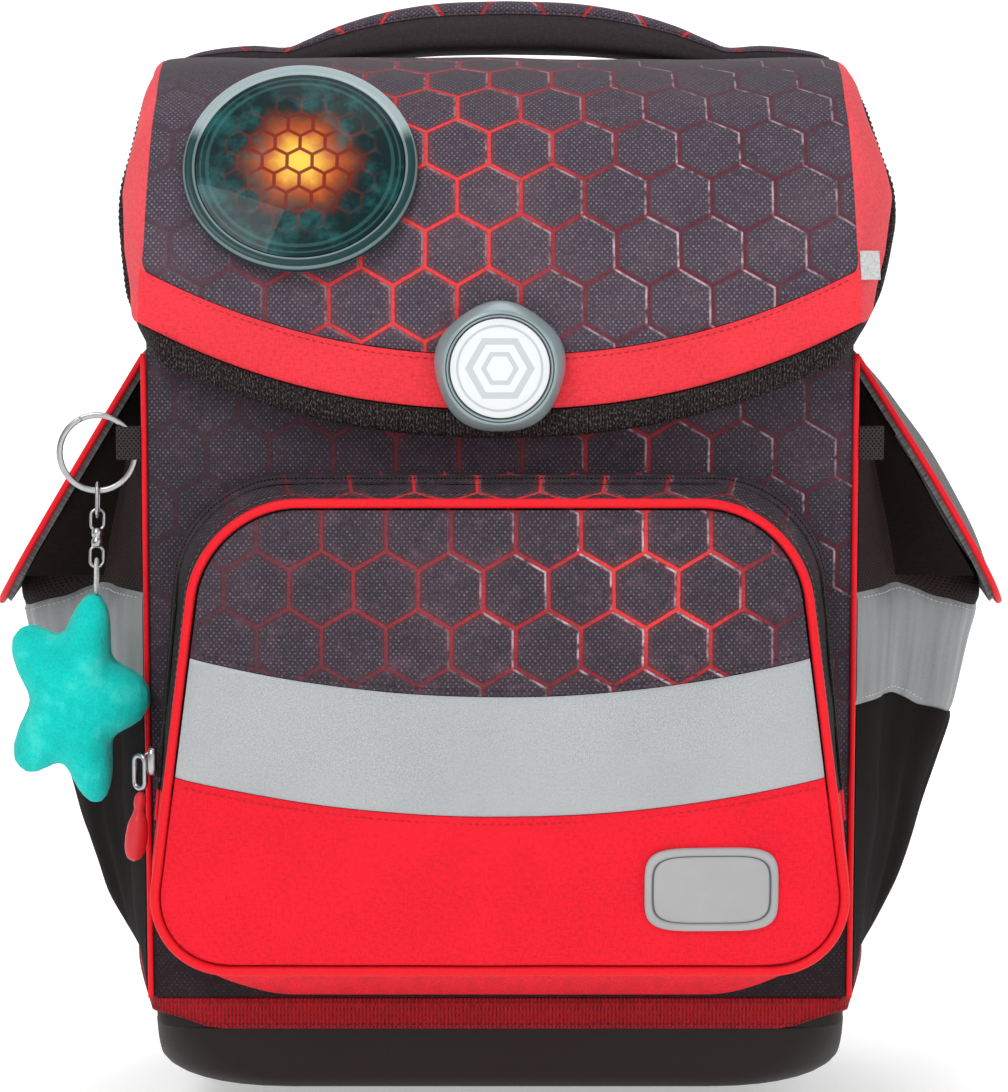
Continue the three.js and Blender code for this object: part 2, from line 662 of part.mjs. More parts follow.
function makeBadge() {
  const s = LID_LENGTH - BADGE_DOWN_LID - (LID_BACK - LID_FRONT) / 2;
  const normal = lidNormal(s);
  const point = lidPoint(BADGE_X / lidHalfWidth(s), s, SEAM + 0.2);
  const inner = BADGE_FACE_RADIUS + SEAM;
  const floor = BADGE_WALL * 0.3;
  const rim = turned(
    [[0, 0], [BADGE_RADIUS * 0.97, 0], [BADGE_RADIUS, BADGE_WALL * 0.5], [BADGE_RADIUS * 0.98, BADGE_WALL],
      [inner, BADGE_WALL], [inner, floor], [0, floor]],
    32,
  );
  add("badge_rim", "badgeRim", place(rim, normal, point));
  const low = floor + SEAM;
  const face = turned(
    [[0, low], [BADGE_FACE_RADIUS, low], [BADGE_FACE_RADIUS, BADGE_WALL],
      [BADGE_FACE_RADIUS * 0.85, BADGE_WALL + BADGE_DOME * 0.6],
      [BADGE_FACE_RADIUS * 0.5, BADGE_WALL + BADGE_DOME * 0.95], [0, BADGE_WALL + BADGE_DOME]],
    32,
  );
  add("badge_face", "badgeFace", place(face, normal, point));
}

function makeLabel() {
  const along = (v) => LABEL_UP_LID + v * LABEL_HEIGHT;
  const surface = (u, v) => lidPoint(1, along(v)).add(V(SEAM + u * LABEL_WIDTH, 0, 0));
  add("side_label", "label", cloth(surface, (u, v) => lidNormal(along(v)), 2, 2, LABEL_WALL));
}

// The pocket's outlines: rounded trapezoids, grown or shrunk by a margin. The gusset swells between them.
function pocketOutline(share, grow = 0) {
  const between = (base, rim) => lerp(base, rim, share);
  const swell = Math.sin(Math.PI * share);
  return {
    low: between(POCKET_BASE_LOW, POCKET_RIM_LOW) - grow,
    top: between(POCKET_BASE_TOP, POCKET_RIM_TOP) + swell * GUSSET_BULGE_TOP + grow,
    halfLow: between(POCKET_BASE_HALF_LOW, POCKET_RIM_HALF_LOW) + swell * GUSSET_BULGE_LOW + grow,
    halfTop: between(POCKET_BASE_HALF_TOP, POCKET_RIM_HALF_TOP) + swell * GUSSET_BULGE_TOP + grow,
    cornerLow: POCKET_CORNER_LOW + grow,
    cornerTop: between(POCKET_BASE_CORNER_TOP, POCKET_CORNER_TOP) + grow,
  };
}

// Half the outline's width at a height, corners included.
function outlineHalf(outline, z) {
  const { low, top, halfLow, halfTop, cornerLow, cornerTop } = outline;
  const straight = lerp(halfLow, halfTop, (z - low) / (top - low));
  const rounded = (corner, from) => {
    const past = clamp(corner - from, 0, corner);
    return corner - Math.sqrt(corner ** 2 - past ** 2);
  };
  return straight - rounded(cornerLow, z - low) - rounded(cornerTop, top - z);
}

// Heights at which the upper or lower run of an outline has a point, from the split to the middle.
function runHeights(outline, upper, split) {
  const corner = upper ? outline.cornerTop : outline.cornerLow;
  const end = upper ? outline.top : outline.low;
  const turn = upper ? -1 : 1;
  const heights = shares(2).slice(0, -1).map((t) => lerp(split, end + turn * corner, t));
  for (const t of shares(5)) heights.push(end + turn * corner * (1 - Math.sin((t * Math.PI) / 2)));
  return heights;
}

// The upper or lower run of an outline as [x, z] pairs, from its right end over the middle to its left.
function outlineRun(outline, upper, split) {
  const right = runHeights(outline, upper, split).map((z) => [outlineHalf(outline, z), z]);
  const [lastX, lastZ] = right.at(-1);
  const middle = shares(4).slice(1, -1).map((t) => [lerp(lastX, -lastX, t), lastZ]);
  return [...right, ...middle, ...right.map(([x, z]) => [-x, z]).reverse()];
}

// Depth of the pocket's rim at a height.
function rimY(z) {
  const t = (z - POCKET_RIM_LOW) / (POCKET_RIM_TOP - POCKET_RIM_LOW);
  return BODY_FRONT - lerp(POCKET_DEPTH_LOW, POCKET_DEPTH_TOP, t);
}

// A run of the gusset: one grid row at each share of the depth from the body to the rim.
function gussetGrid(upper, split, from, to, grow, rows = 3) {
  return shares(rows).map((v) => {
    const share = lerp(from, to, v);
    const run = outlineRun(pocketOutline(share, grow), upper, split);
    const behindPiping = POCKET_PIPING_RADIUS + SEAM;
    return run.map(([x, z]) => V(x, lerp(BODY_FRONT - SEAM, rimY(z) + behindPiping, share), z));
  });
}

function makePocketGusset() {
  const build = (upper, split) =>
    wallBetween(gussetGrid(upper, split, 0, 1, 0), gussetGrid(upper, split, 0, 1, -POCKET_WALL));
  add("pocket_gusset_upper", "print", build(true, GUSSET_SPLIT + SEAM / 2));
  add("pocket_gusset_lower", "red", build(false, GUSSET_SPLIT - SEAM / 2));
}

// Front face of the pocket: a crowned surface over the rim outline.
function pocketFace(x, z, proud = 0) {
  const rim = pocketOutline(1);
  const across = clamp(x / POCKET_RIM_HALF_LOW, -1, 1);
  const up = clamp((2 * (z - rim.low)) / (rim.top - rim.low) - 1, -1, 1);
  return V(x, rimY(z) - POCKET_CROWN * (1 - across ** 2) * (1 - up ** 2) - proud, z);
}

// How far the panels stay inside the middle of the piping.
const PANEL_INSET = POCKET_PIPING_RADIUS + 2 * SEAM;

// A panel of the pocket front between two heights at its sides; the seams sag towards the middle.
function pocketPanel(name, finish, low, high, sagLow, sagHigh, rowShares) {
  const panel = pocketOutline(1, -PANEL_INSET);
  const grid = rowShares.map((v) =>
    shares(10).map((t) => {
      const side = 2 * t - 1;
      const z = lerp(low, high, v);
      const sag = BAND_SAG * lerp(sagLow, sagHigh, v) * (1 - side ** 2);
      return pocketFace(side * outlineHalf(panel, z), z - sag, POCKET_WALL / 2);
    }),
  );
  const inner = grid.map((row) => row.map((p) => p.clone().setY(p.y + POCKET_WALL)));
  add(name, finish, wallBetween(grid, inner));
}

function makePocketFront() {
  const panel = pocketOutline(1, -PANEL_INSET);
  const cornerShares = (corner, span) =>
    shares(4).map((t) => ((1 - Math.cos((t * Math.PI) / 2)) * corner) / span);
  const lowSpan = BAND_SEAM_LOW - SEAM - panel.low;
  const lowRows = [...cornerShares(panel.cornerLow, lowSpan), 0.7, 1];
  const topSpan = panel.top - BAND_SEAM_HIGH - SEAM;
  const topRows = [...cornerShares(panel.cornerTop, topSpan), 0.75, 1].map((t) => 1 - t).reverse();
  pocketPanel("pocket_lower_panel", "red", panel.low, BAND_SEAM_LOW - SEAM, 0, 1, lowRows);
  pocketPanel("pocket_reflective_band", "reflective", BAND_SEAM_LOW, BAND_SEAM_HIGH, 1, 1, shares(3));
  pocketPanel("pocket_upper_panel", "print", BAND_SEAM_HIGH + SEAM, panel.top, 1, 0, topRows);

  const rim = pocketOutline(1);
  const lowRun = outlineRun(rim, false, GUSSET_SPLIT).reverse().slice(1, -1);
  const loop = [...outlineRun(rim, true, GUSSET_SPLIT), ...lowRun];
  const path = loop.map(([x, z]) => V(x, rimY(z), z));
  add("pocket_piping", "red", roundCord(path, POCKET_PIPING_RADIUS, 7, V(0, 1, 0), true));
}

// Share of the gusset's depth at which the middle of the zip runs.
const ZIP_SHARE = 0.5;

function makeZip() {
  const half = ZIP_WIDTH / 2 / POCKET_DEPTH_TOP;
  const grid = (grow) => gussetGrid(true, ZIP_END, ZIP_SHARE - half, ZIP_SHARE + half, grow, 1);
  add("pocket_zip", "black", wallBetween(grid(SEAM + ZIP_WALL), grid(SEAM)));

  const sliderX = (y, z) => {
    const share = (BODY_FRONT - y) / (BODY_FRONT - rimY(z));
    return -outlineHalf(pocketOutline(share, 3 * SEAM + ZIP_WALL), z);
  };
  const y = lerp(BODY_FRONT, rimY(SLIDER_Z), ZIP_SHARE);
  const [w, h] = [SLIDER_WIDTH / 2, SLIDER_LENGTH / 2];
  const ring = (grow, out) =>
    [[-w, -h], [w, -h], [w, h * 0.5], [w * 0.5, h], [-w * 0.5, h], [-w, h * 0.5]]
      .map(([a, b]) => V(sliderX(y + a, SLIDER_Z + b) - out, y + a * grow, SLIDER_Z + b * grow));
  add("zip_slider", "metal", loft([ring(1, 0), ring(1, SLIDER_HEIGHT * 0.8), ring(0.8, SLIDER_HEIGHT)]));

  // The puller is a flat wire loop that hangs beside the slider.
  const pullX = sliderX(y, SLIDER_Z) - SLIDER_HEIGHT - 4 * SEAM - PULLER_WIRE;
  const pullTop = SLIDER_Z + 2;
  const halfWidth = PULLER_WIDTH / 2;
  const pullLow = pullTop - PULLER_LENGTH;
  const arc = shares(4).map((t) => t * Math.PI)
    .map((a) => [halfWidth * Math.cos(a), halfWidth * (1 - Math.sin(a))]);
  const loop = [
    ...arc.map(([across, down]) => V(pullX, y + across, pullTop - down)),
    ...arc.map(([across, up]) => V(pullX, y - across, pullLow + up)),
  ];
  add("zip_puller", "metal", roundCord(loop, PULLER_WIRE, 6, V(1, 0, 0), true));

  // Rubber tab: a soft, waisted grip below the puller.
  const tabTop = pullTop - PULLER_LENGTH - PULLER_WIRE - SEAM;
  const tabShape = [
    [0, 0.35], [0.1, 0.62], [0.22, 0.7], [0.33, 0.55],
    [0.5, 0.85], [0.72, 1], [0.9, 0.85], [1, 0.45],
  ];
  const rings = tabShape.map(([down, wide]) =>
    shares(10).slice(0, -1).map((t) => {
      const a = t * 2 * Math.PI;
      const thick = (TAB_THICKNESS / 2) * Math.min(1, wide + 0.15);
      const x = pullX - TAB_LEAN * (0.3 + down) + thick * Math.cos(a);
      return V(x, y + (TAB_WIDTH / 2) * wide * Math.sin(a), tabTop - down * TAB_LENGTH);
    }),
  );
  add("puller_tab", "rubber", loft(rings));
}

function makePatch() {
  const outline = (grow) =>
    shares(20).slice(0, -1).map((t) => {
      const a = t * 2 * Math.PI;
      const squarer = (value) => Math.sign(value) * Math.abs(value) ** 0.45;
      const x = (PATCH_WIDTH / 2 - grow) * squarer(Math.cos(a));
      return [x, (PATCH_HEIGHT / 2 - grow) * squarer(Math.sin(a))];
    });
  const ring = (grow, proud) =>
    outline(grow).map(([x, z]) => pocketFace(PATCH_X + x, PATCH_Z + z, POCKET_WALL / 2 + SEAM + proud));
  const loops = [
    ring(12, 0), ring(0, 0), ring(0, PATCH_WALL * 0.7), ring(0.8, PATCH_WALL),
    ring(2.6, PATCH_WALL), ring(3, PATCH_WALL * 0.7), ring(12, PATCH_WALL * 0.7),
  ];
  add("rubber_patch", "patch", loft(loops));
}

// Side pocket: how far it stands out at each height, and its shape from front to back, both as shares.
const SIDE_POCKET_HEIGHTS = [
  { at: 0.0, bulge: 0.0 }, { at: 0.02, bulge: 0.2 }, { at: 0.1, bulge: 0.385 },
  { at: 0.19, bulge: 0.52 }, { at: 0.28, bulge: 0.625 }, { at: 0.38, bulge: 0.73 },
  { at: 0.48, bulge: 0.835 }, { at: 0.58, bulge: 0.92 }, { at: 0.69, bulge: 1.0 },
  { at: 0.8, bulge: 0.75 }, { at: 0.9, bulge: 0.5 }, { at: 1.0, bulge: 0.28 },
];
const SIDE_POCKET_DEPTHS = [
  { at: 0.0, out: 0.0 }, { at: 0.1, out: 0.2 }, { at: 0.21, out: 0.35 },
  { at: 0.32, out: 0.72 }, { at: 0.45, out: 0.97 }, { at: 0.58, out: 1.0 },
  { at: 0.72, out: 0.9 }, { at: 0.86, out: 0.56 }, { at: 1.0, out: 0.0 },
];
const SIDE_POCKET_LOW = BASE_HEIGHT + SEAM;

const sidePocketY = (along) => lerp(SIDE_POCKET_FRONT, SIDE_POCKET_BACK, along);
const sidePocketLow = (along) => SIDE_POCKET_LOW + WEBBING_SIDE_RISE * sideSwing(sidePocketY(along));

function sidePocketPoint(hand, along, z) {
  const y = sidePocketY(along);
  const up = (z - sidePocketLow(along)) / (SIDE_POCKET_TOP - sidePocketLow(along));
  const bulge = SIDE_POCKET_BULGE * fromTable(SIDE_POCKET_HEIGHTS, up, "bulge");
  const out = bulge * fromTable(SIDE_POCKET_DEPTHS, along, "out");
  return V(hand * (sideX(y) + SEAM + SIDE_POCKET_WALL + out), y, z);
}

// How far the edges of the reflective band droop where the pocket stands out most.
function bandDroop(along) {
  return SIDE_BAND_DROOP * clamp((fromTable(SIDE_POCKET_DEPTHS, along, "out") - 0.35) / 0.65, 0, 1);
}

function makeSidePockets(hand, name) {
  const along = SIDE_POCKET_DEPTHS.map((row) => row.at);
  const piece = (low, high, rows) => {
    const outer = rows.map((v) => along.map((t) => sidePocketPoint(hand, t, lerp(low(t), high(t), v))));
    const inward = (p, top) => V(p.x - hand * SIDE_POCKET_WALL, lerp(p.y, 0, 0.02), lerp(p.z, top, 0.012));
    const inner = outer.map((row) => row.map((p, j) => inward(p, high(along[j]))));
    return wallBetween(outer, inner);
  };
  const bandLow = (t) => SIDE_BAND_LOW - bandDroop(t);
  const bandHigh = (t) => SIDE_BAND_HIGH - bandDroop(t);
  const clothRows = [0, 0.04, 0.2, 0.4, 0.6, 0.8, 1];
  add(`side_pocket_${name}`, "black", piece(sidePocketLow, (t) => bandLow(t) - SEAM, clothRows));
  add(`side_band_${name}`, "reflective", piece(bandLow, bandHigh, shares(2)));
  add(`side_mesh_${name}`, "mesh", piece((t) => bandHigh(t) + SEAM, () => SIDE_POCKET_TOP, shares(3)));

  const spot = sidePocketPoint(hand, 0.55, RIVET_Z);
  const normal = spot.clone().sub(sidePocketPoint(hand, 0.5, RIVET_Z))
    .cross(spot.clone().sub(sidePocketPoint(hand, 0.55, RIVET_Z + 4))).normalize();
  if (normal.x * hand < 0) normal.negate();
  const rivetProfile = [
    [0, 0], [RIVET_RADIUS, 0], [RIVET_RADIUS, RIVET_HEIGHT * 0.4],
    [RIVET_RADIUS * 0.6, RIVET_HEIGHT], [0, RIVET_HEIGHT],
  ];
  const rivet = turned(rivetProfile, 12);
  add(`side_rivet_${name}`, "metal", place(rivet, normal, spot.addScaledVector(normal, SEAM)));
}

// Side flap: a stiff padded sheet that hangs out from its root seam over the pocket's mouth.
const FLAP_CORNER = 0.42;

function flapPoint(hand, across, down) {
  const crown = hand > 0 ? FLAP_CROWN_RIGHT : FLAP_CROWN_LEFT;
  const y = across * FLAP_HALF_LENGTH - 2;
  const out = FLAP_REACH * down + crown * Math.sin(Math.PI * down) * (1 - 0.8 * across ** 2);
  return V(hand * (sideX(y) + SEAM + FLAP_WALL + out), y, FLAP_ROOT - FLAP_DROP * down);
}

// Half the flap's length at a share of its drop: full at the root, with round lower corners.
function flapHalf(down) {
  const past = clamp((down - (1 - FLAP_CORNER)) / FLAP_CORNER, 0, 1);
  return 1 - 0.12 * down - 0.45 * (1 - Math.sqrt(1 - past ** 2));
}

function makeSideFlap(hand, name) {
  const downs = [0, 0.16, 0.32, 0.48, 0.62, 0.74, 0.84, 0.92, 0.97, 1];
  const grid = downs.map((down) =>
    shares(6).map((t) => flapPoint(hand, (2 * t - 1) * flapHalf(down), down)));
  const through = V(-hand * FLAP_WALL * 0.85, 0, -FLAP_WALL * 0.5);
  const inner = grid.map((row) => row.map((p) => p.clone().add(through)));
  add(`side_flap_${name}`, "heather", wallBetween(grid, inner));

  // The piping follows the free edge, clear of it by one seam gap.
  const lowEdge = grid.at(-1).slice(1, -1);
  const rim = [...grid.map((row) => row[0]), ...lowEdge, ...grid.map((row) => row.at(-1)).reverse()];
  const normal = V(-through.x, 0, -through.z).normalize();
  const path = rim.map((p, i) => {
    const along = rim[Math.min(i + 1, rim.length - 1)].clone().sub(rim[Math.max(i - 1, 0)]);
    const outward = along.cross(normal).normalize().multiplyScalar(hand);
    return p.clone().addScaledVector(through, 0.5).addScaledVector(outward, FLAP_PIPING_RADIUS + 2 * SEAM);
  });
  add(`side_flap_piping_${name}`, "red", roundCord(path, FLAP_PIPING_RADIUS, 6, normal));
}

// Webbing loop beside the front seam: a folded strip with a slot from top to bottom.
function makeSeamLoop(hand, name) {
  const near = BODY_WIDTH_FRONT / 2 + EDGE_PIPING_RADIUS + SEAM;
  const round = (start, end, half) => {
    const shape = [];
    for (const t of shares(5)) {
      const a = ((t - 0.5) * Math.PI);
      shape.push([end - half + half * Math.cos(a), half * Math.sin(a)]);
    }
    return [[start, -half], ...shape, [start, half]];
  };
  const half = LOOP_THICKNESS / 2;
  const toShape = (points) => new THREE.Shape(points.map(([x, y]) => new THREE.Vector2(x, y)));
  const shape = toShape(round(0, LOOP_REACH, half));
  shape.holes.push(toShape(round(LOOP_WALL, LOOP_REACH - LOOP_WALL, half - LOOP_WALL).reverse()));
  const geometry = new THREE.ExtrudeGeometry(shape, { depth: LOOP_HEIGHT, bevelEnabled: false });
  if (hand < 0) geometry.rotateZ(Math.PI);
  const mesh = add(`seam_loop_${name}`, "black", geometry);
  mesh.position.set(hand * near, LOOP_Y, LOOP_Z - LOOP_HEIGHT / 2);
}

// A manifold-3d solid from a closed geometry, and back.
function toSolid(geometry) {
  const merged = new Map();
  const vertices = [];
  const source = geometry.index ? geometry.toNonIndexed() : geometry;
  const position = source.getAttribute("position");
  const corners = [];
  for (let i = 0; i < position.count; i++) {
    const key = [position.getX(i), position.getY(i), position.getZ(i)].map((c) => c.toFixed(4)).join();
    if (!merged.has(key)) {
      merged.set(key, merged.size);
      vertices.push(position.getX(i), position.getY(i), position.getZ(i));
    }
    corners.push(merged.get(key));
  }
  const triangles = corners.filter((_, i) => {
    const [a, b, c] = corners.slice(i - (i % 3), i - (i % 3) + 3);
    return a !== b && b !== c && a !== c;
  });
  return new wasm.Manifold(new wasm.Mesh({
    numProp: 3,
    vertProperties: new Float32Array(vertices),
    triVerts: new Uint32Array(triangles),
  }));
}

function fromSolid(solid) {
  const mesh = solid.getMesh();
  const geometry = new THREE.BufferGeometry();
  geometry.setAttribute("position", new THREE.BufferAttribute(mesh.vertProperties, 3));
  geometry.setIndex(new THREE.BufferAttribute(mesh.triVerts, 1));
  return geometry;
}

// An oval wire link in the plane of two directions, round a centre.
function ovalLink(centre, wide, high, width, length, wire) {
  const straight = (length - width) / 2;
  const points = shares(12).slice(0, -1).map((t) => {
    const a = t * 2 * Math.PI;
    const up = Math.sin(a) * (width / 2) + Math.sign(Math.round(Math.sin(a) * 1e6)) * straight;
    return centre.clone().addScaledVector(wide, Math.cos(a) * (width / 2)).addScaledVector(high, up);
  });
  return roundCord(points, wire, 5, wide.clone().cross(high), true);
}

function makeCharm() {
  const slotStart = BODY_WIDTH_FRONT / 2 + EDGE_PIPING_RADIUS + SEAM + LOOP_WALL;
  const ringX = -(slotStart + RING_WIRE + SEAM + RING_RADIUS);
  const ringZ = LOOP_Z - 4;
  const ring = new THREE.TorusGeometry(RING_RADIUS, RING_WIRE, 6, 28);
  ring.rotateX(Math.PI / 2);
  add("key_ring", "metal", ring).position.set(ringX, LOOP_Y, ringZ);

  // Link through the ring, swivel, and the ribbon of the star. They lean forward over the side pocket.
  const pivot = V(ringX, LOOP_Y, ringZ - RING_RADIUS);
  const lean = (geometry) => {
    geometry.translate(-pivot.x, -pivot.y, -pivot.z).rotateX(-CHAIN_LEAN);
    return geometry.translate(pivot.x, pivot.y, pivot.z);
  };
  const link = (z, wide, width, length) =>
    ovalLink(V(ringX, LOOP_Y, z), wide, V(0, 0, 1), width, length, LINK_WIRE);
  const inside = LINK_LENGTH / 2 - LINK_WIRE;
  const firstZ = pivot.z + RING_WIRE + LINK_PLAY - inside;
  add("ring_link", "metal", lean(link(firstZ, V(0, 1, 0), LINK_WIDTH, LINK_LENGTH)));
  const eyeLength = LINK_LENGTH * 0.75;
  const eyeInside = eyeLength / 2 - LINK_WIRE;
  const eyeZ = firstZ - inside + LINK_PLAY - eyeInside;
  const barrelTop = eyeZ - eyeLength / 2 + LINK_WIRE * 0.5;
  const barrel = new THREE.CylinderGeometry(SWIVEL_RADIUS, SWIVEL_RADIUS, SWIVEL_HEIGHT, 10);
  barrel.rotateX(Math.PI / 2).translate(ringX, LOOP_Y, barrelTop - SWIVEL_HEIGHT / 2);
  const lowEyeZ = barrelTop - SWIVEL_HEIGHT + LINK_WIRE * 0.5 - eyeLength / 2;
  const eyes = [eyeZ, lowEyeZ].map((z) => toSolid(link(z, V(1, 0, 0), LINK_WIDTH * 0.8, eyeLength)));
  add("swivel", "metal", lean(fromSolid(toSolid(barrel).add(eyes[0]).add(eyes[1]))));
  const ribbonZ = lowEyeZ - eyeInside + LINK_PLAY - inside;
  add("star_ribbon", "label", lean(link(ribbonZ, V(0, 1, 0), LINK_WIDTH, LINK_LENGTH)));

  // Puffy star with five round points, thick in the middle, a little taller than wide. The ribbon holds
  // one point, and the star hangs turned about it.
  const drop = pivot.z - (ribbonZ - LINK_LENGTH / 2 - LINK_WIRE);
  const footY = pivot.y - Math.sin(CHAIN_LEAN) * drop;
  const foot = V(ringX, footY, pivot.z - Math.cos(CHAIN_LEAN) * drop - SEAM);
  const pointReach = 0.24;
  const [wide, tall] = [0.78, 1.14];
  const tip = STAR_RADIUS * (1 + pointReach);
  const middleX = foot.x - wide * tip * Math.sin(STAR_TURN);
  const middle = V(middleX, foot.y, foot.z - tall * tip * Math.cos(STAR_TURN));
  const rings = [-0.97, -0.82, -0.5, 0, 0.5, 0.82, 0.97].map((level) =>
    shares(25).slice(0, -1).map((t) => {
      const round = t * 2 * Math.PI;
      const flat = STAR_RADIUS * (1 + pointReach * Math.cos(5 * round));
      const r = flat * Math.sqrt(1 - Math.abs(level) ** 2.2);
      const a = round + Math.PI / 2 - STAR_TURN;
      const out = (STAR_THICKNESS / 2) * level;
      return V(middle.x + wide * r * Math.cos(a), middle.y + out, middle.z + tall * r * Math.sin(a));
    }),
  );
  add("plush_star", "plush", loft(rings));
}

// Pads and shoulder straps on the wearer's side.
function makeBackPads(hand, name) {
  const middle = hand * (PAD_WIDTH / 2 + 9);
  const outline = shares(24).slice(0, -1).map((t) => {
    const a = t * 2 * Math.PI;
    const squarer = (value) => Math.sign(value) * Math.abs(value) ** 0.35;
    return [squarer(Math.cos(a)) * (PAD_WIDTH / 2), squarer(Math.sin(a)) * ((PAD_TOP - PAD_LOW) / 2)];
  });
  const ring = (grow, out) =>
    outline.map(([x, z]) => {
      const up = z * (1 - (1 - grow) * 0.35);
      return V(middle + x * grow, BODY_BACK + SEAM + out, (PAD_TOP + PAD_LOW) / 2 + up);
    });
  const loops = [ring(1, 0), ring(1, PAD_WALL * 0.5), ring(0.94, PAD_WALL * 0.85), ring(0.8, PAD_WALL)];
  add(`back_pad_${name}`, "mesh", loft(loops));
}

// Shoulder strap from its top seam out and down to its lower end: shares of drop and stand-off.
const STRAP_ROUTE = [
  { down: 0.0, off: 0.0 }, { down: -0.01, off: 0.35 }, { down: 0.06, off: 0.72 }, { down: 0.2, off: 0.95 },
  { down: 0.42, off: 1.0 }, { down: 0.64, off: 0.9 }, { down: 0.84, off: 0.66 }, { down: 1.0, off: 0.42 },
];

function makeShoulderStrap(hand, name) {
  const seamY = BODY_BACK + 3 * SEAM;
  const reach = PAD_WALL + STRAP_WALL / 2 + STRAP_STAND_OFF;
  const routePoints = STRAP_ROUTE.map(({ down, off }) => {
    const x = hand * lerp(STRAP_TOP_X, STRAP_LOW_X, clamp(down, 0, 1));
    return V(x, seamY + off * reach, lerp(STRAP_TOP, STRAP_LOW, down));
  });
  const route = new THREE.CatmullRomCurve3(routePoints, false, "centripetal");
  const outline = [
    [-1, -0.6], [-0.9, 0.6], [-0.5, 1], [0.5, 1],
    [0.9, 0.6], [1, -0.6], [0.6, -1], [-0.6, -1],
  ];
  const stations = shares(14).map((t) => {
    const point = route.getPointAt(t);
    const tangent = route.getTangentAt(t);
    const wide = V(1, 0, 0).addScaledVector(tangent, -tangent.x).normalize();
    const thick = tangent.clone().cross(wide).normalize();
    const halfWidth = (STRAP_WIDTH / 2) * Math.min(1, 0.45 + 6 * t, 0.72 + 2 * (1 - t));
    const halfWall = (STRAP_WALL / 2) * Math.min(1, 0.5 + 5 * t);
    return outline.map(([a, b]) =>
      point.clone().addScaledVector(wide, a * halfWidth).addScaledVector(thick, b * halfWall));
  });
  add(`shoulder_strap_${name}`, "mesh", loft(stations));

  const below = route.getTangentAt(1);
  const start = route.getPointAt(1).addScaledVector(below, 3 * SEAM);
  const anchor = V(hand * STRAP_ANCHOR_X, BODY_BACK + 2 * SEAM + STRAP_WEBBING_WALL, STRAP_ANCHOR_Z);
  const straight = [0, 0.5, 1, 1.5].map((share) =>
    start.clone().addScaledVector(below, share * ADJUSTER_HEIGHT));
  const slack = start.clone().lerp(anchor, 0.75).add(V(0, 5, 4));
  const tape = new THREE.CatmullRomCurve3([...straight, slack, anchor], false, "centripetal");
  const frame = (t) => {
    const along = tape.getTangentAt(t);
    const wide = V(1, 0, 0).addScaledVector(along, -along.x).normalize();
    const thick = along.clone().cross(wide).normalize();
    return { point: tape.getPointAt(t), along, wide, thick: thick.y < 0 ? thick.negate() : thick };
  };
  const strip = shares(10).map((t) => {
    const { point, wide, thick } = frame(t);
    wide.multiplyScalar(STRAP_WEBBING_WIDTH / 2);
    thick.multiplyScalar(STRAP_WEBBING_WALL / 2);
    return [[-1, -1], [1, -1], [1, 1], [-1, 1]].map(([a, b]) =>
      point.clone().addScaledVector(wide, a).addScaledVector(thick, b));
  });
  add(`strap_webbing_${name}`, "black", loft(strip));

  const { along, wide, thick } = frame(0);
  const base = start.clone().addScaledVector(along, 0.7 * ADJUSTER_HEIGHT);
  base.addScaledVector(thick, STRAP_WEBBING_WALL / 2 + 2 * SEAM);
  const box = (out, grow) =>
    [[-1, -1], [1, -1], [1, 1], [-1, 1]].map(([a, b]) =>
      base.clone().addScaledVector(wide, (a * ADJUSTER_WIDTH * grow) / 2)
        .addScaledVector(along, (b * ADJUSTER_HEIGHT * grow) / 2).addScaledVector(thick, out));
  const adjuster = loft([box(0, 1), box(ADJUSTER_WALL * 0.7, 1), box(ADJUSTER_WALL, 0.86)]);
  add(`strap_adjuster_${name}`, "base", adjuster);
}

makeBase();
makeBody();
makeLid();
makeBinding();
makeHandle();
makeLock();
makeBadge();
makeLabel();
makePocketGusset();
makePocketFront();
makeZip();
makePatch();
for (const [hand, name] of [[-1, "left"], [1, "right"]]) {
  makeSidePockets(hand, name);
  makeSideFlap(hand, name);
  makeSeamLoop(hand, name);
  makeBackPads(hand, name);
  makeShoulderStrap(hand, name);
}
makeCharm();

export default ransel;
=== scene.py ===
"""A school ransel: a box-shaped school backpack with a curved lid, made round its fixed frame.

Everything is in metres, +Z up. The front faces -Y and the wearer's back is at +Y.
"""

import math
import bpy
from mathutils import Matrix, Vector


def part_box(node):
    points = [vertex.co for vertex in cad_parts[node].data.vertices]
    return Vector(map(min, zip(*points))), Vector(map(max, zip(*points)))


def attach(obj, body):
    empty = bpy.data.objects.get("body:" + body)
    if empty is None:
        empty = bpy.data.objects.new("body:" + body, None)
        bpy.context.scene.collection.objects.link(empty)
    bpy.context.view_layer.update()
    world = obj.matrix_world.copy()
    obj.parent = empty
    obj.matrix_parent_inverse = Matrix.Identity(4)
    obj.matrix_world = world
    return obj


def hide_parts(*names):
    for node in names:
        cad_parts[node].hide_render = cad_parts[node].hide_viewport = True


bl_info = {
    "name": "School ransel",
    "version": (1, 0, 0),
    "blender": (4, 5, 0),
    "location": "View3D > Sidebar > Ransel",
    "description": "Cloth, trim, padding and fittings of a school ransel, made round its frame",
    "category": "Add Mesh",
}

import bmesh
import bpy
import numpy as np
from mathutils import Vector

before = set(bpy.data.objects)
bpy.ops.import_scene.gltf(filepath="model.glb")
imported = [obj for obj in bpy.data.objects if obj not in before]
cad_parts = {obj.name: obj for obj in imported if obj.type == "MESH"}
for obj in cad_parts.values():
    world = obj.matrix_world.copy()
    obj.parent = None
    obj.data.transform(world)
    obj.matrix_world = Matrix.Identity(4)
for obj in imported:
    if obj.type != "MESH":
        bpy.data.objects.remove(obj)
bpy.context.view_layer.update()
BODY = "root"
MM = 0.001
SEAM = 0.3


def low(node):
    """Lowest corner of a frame node."""
    return np.array(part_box(node)[0]) / MM


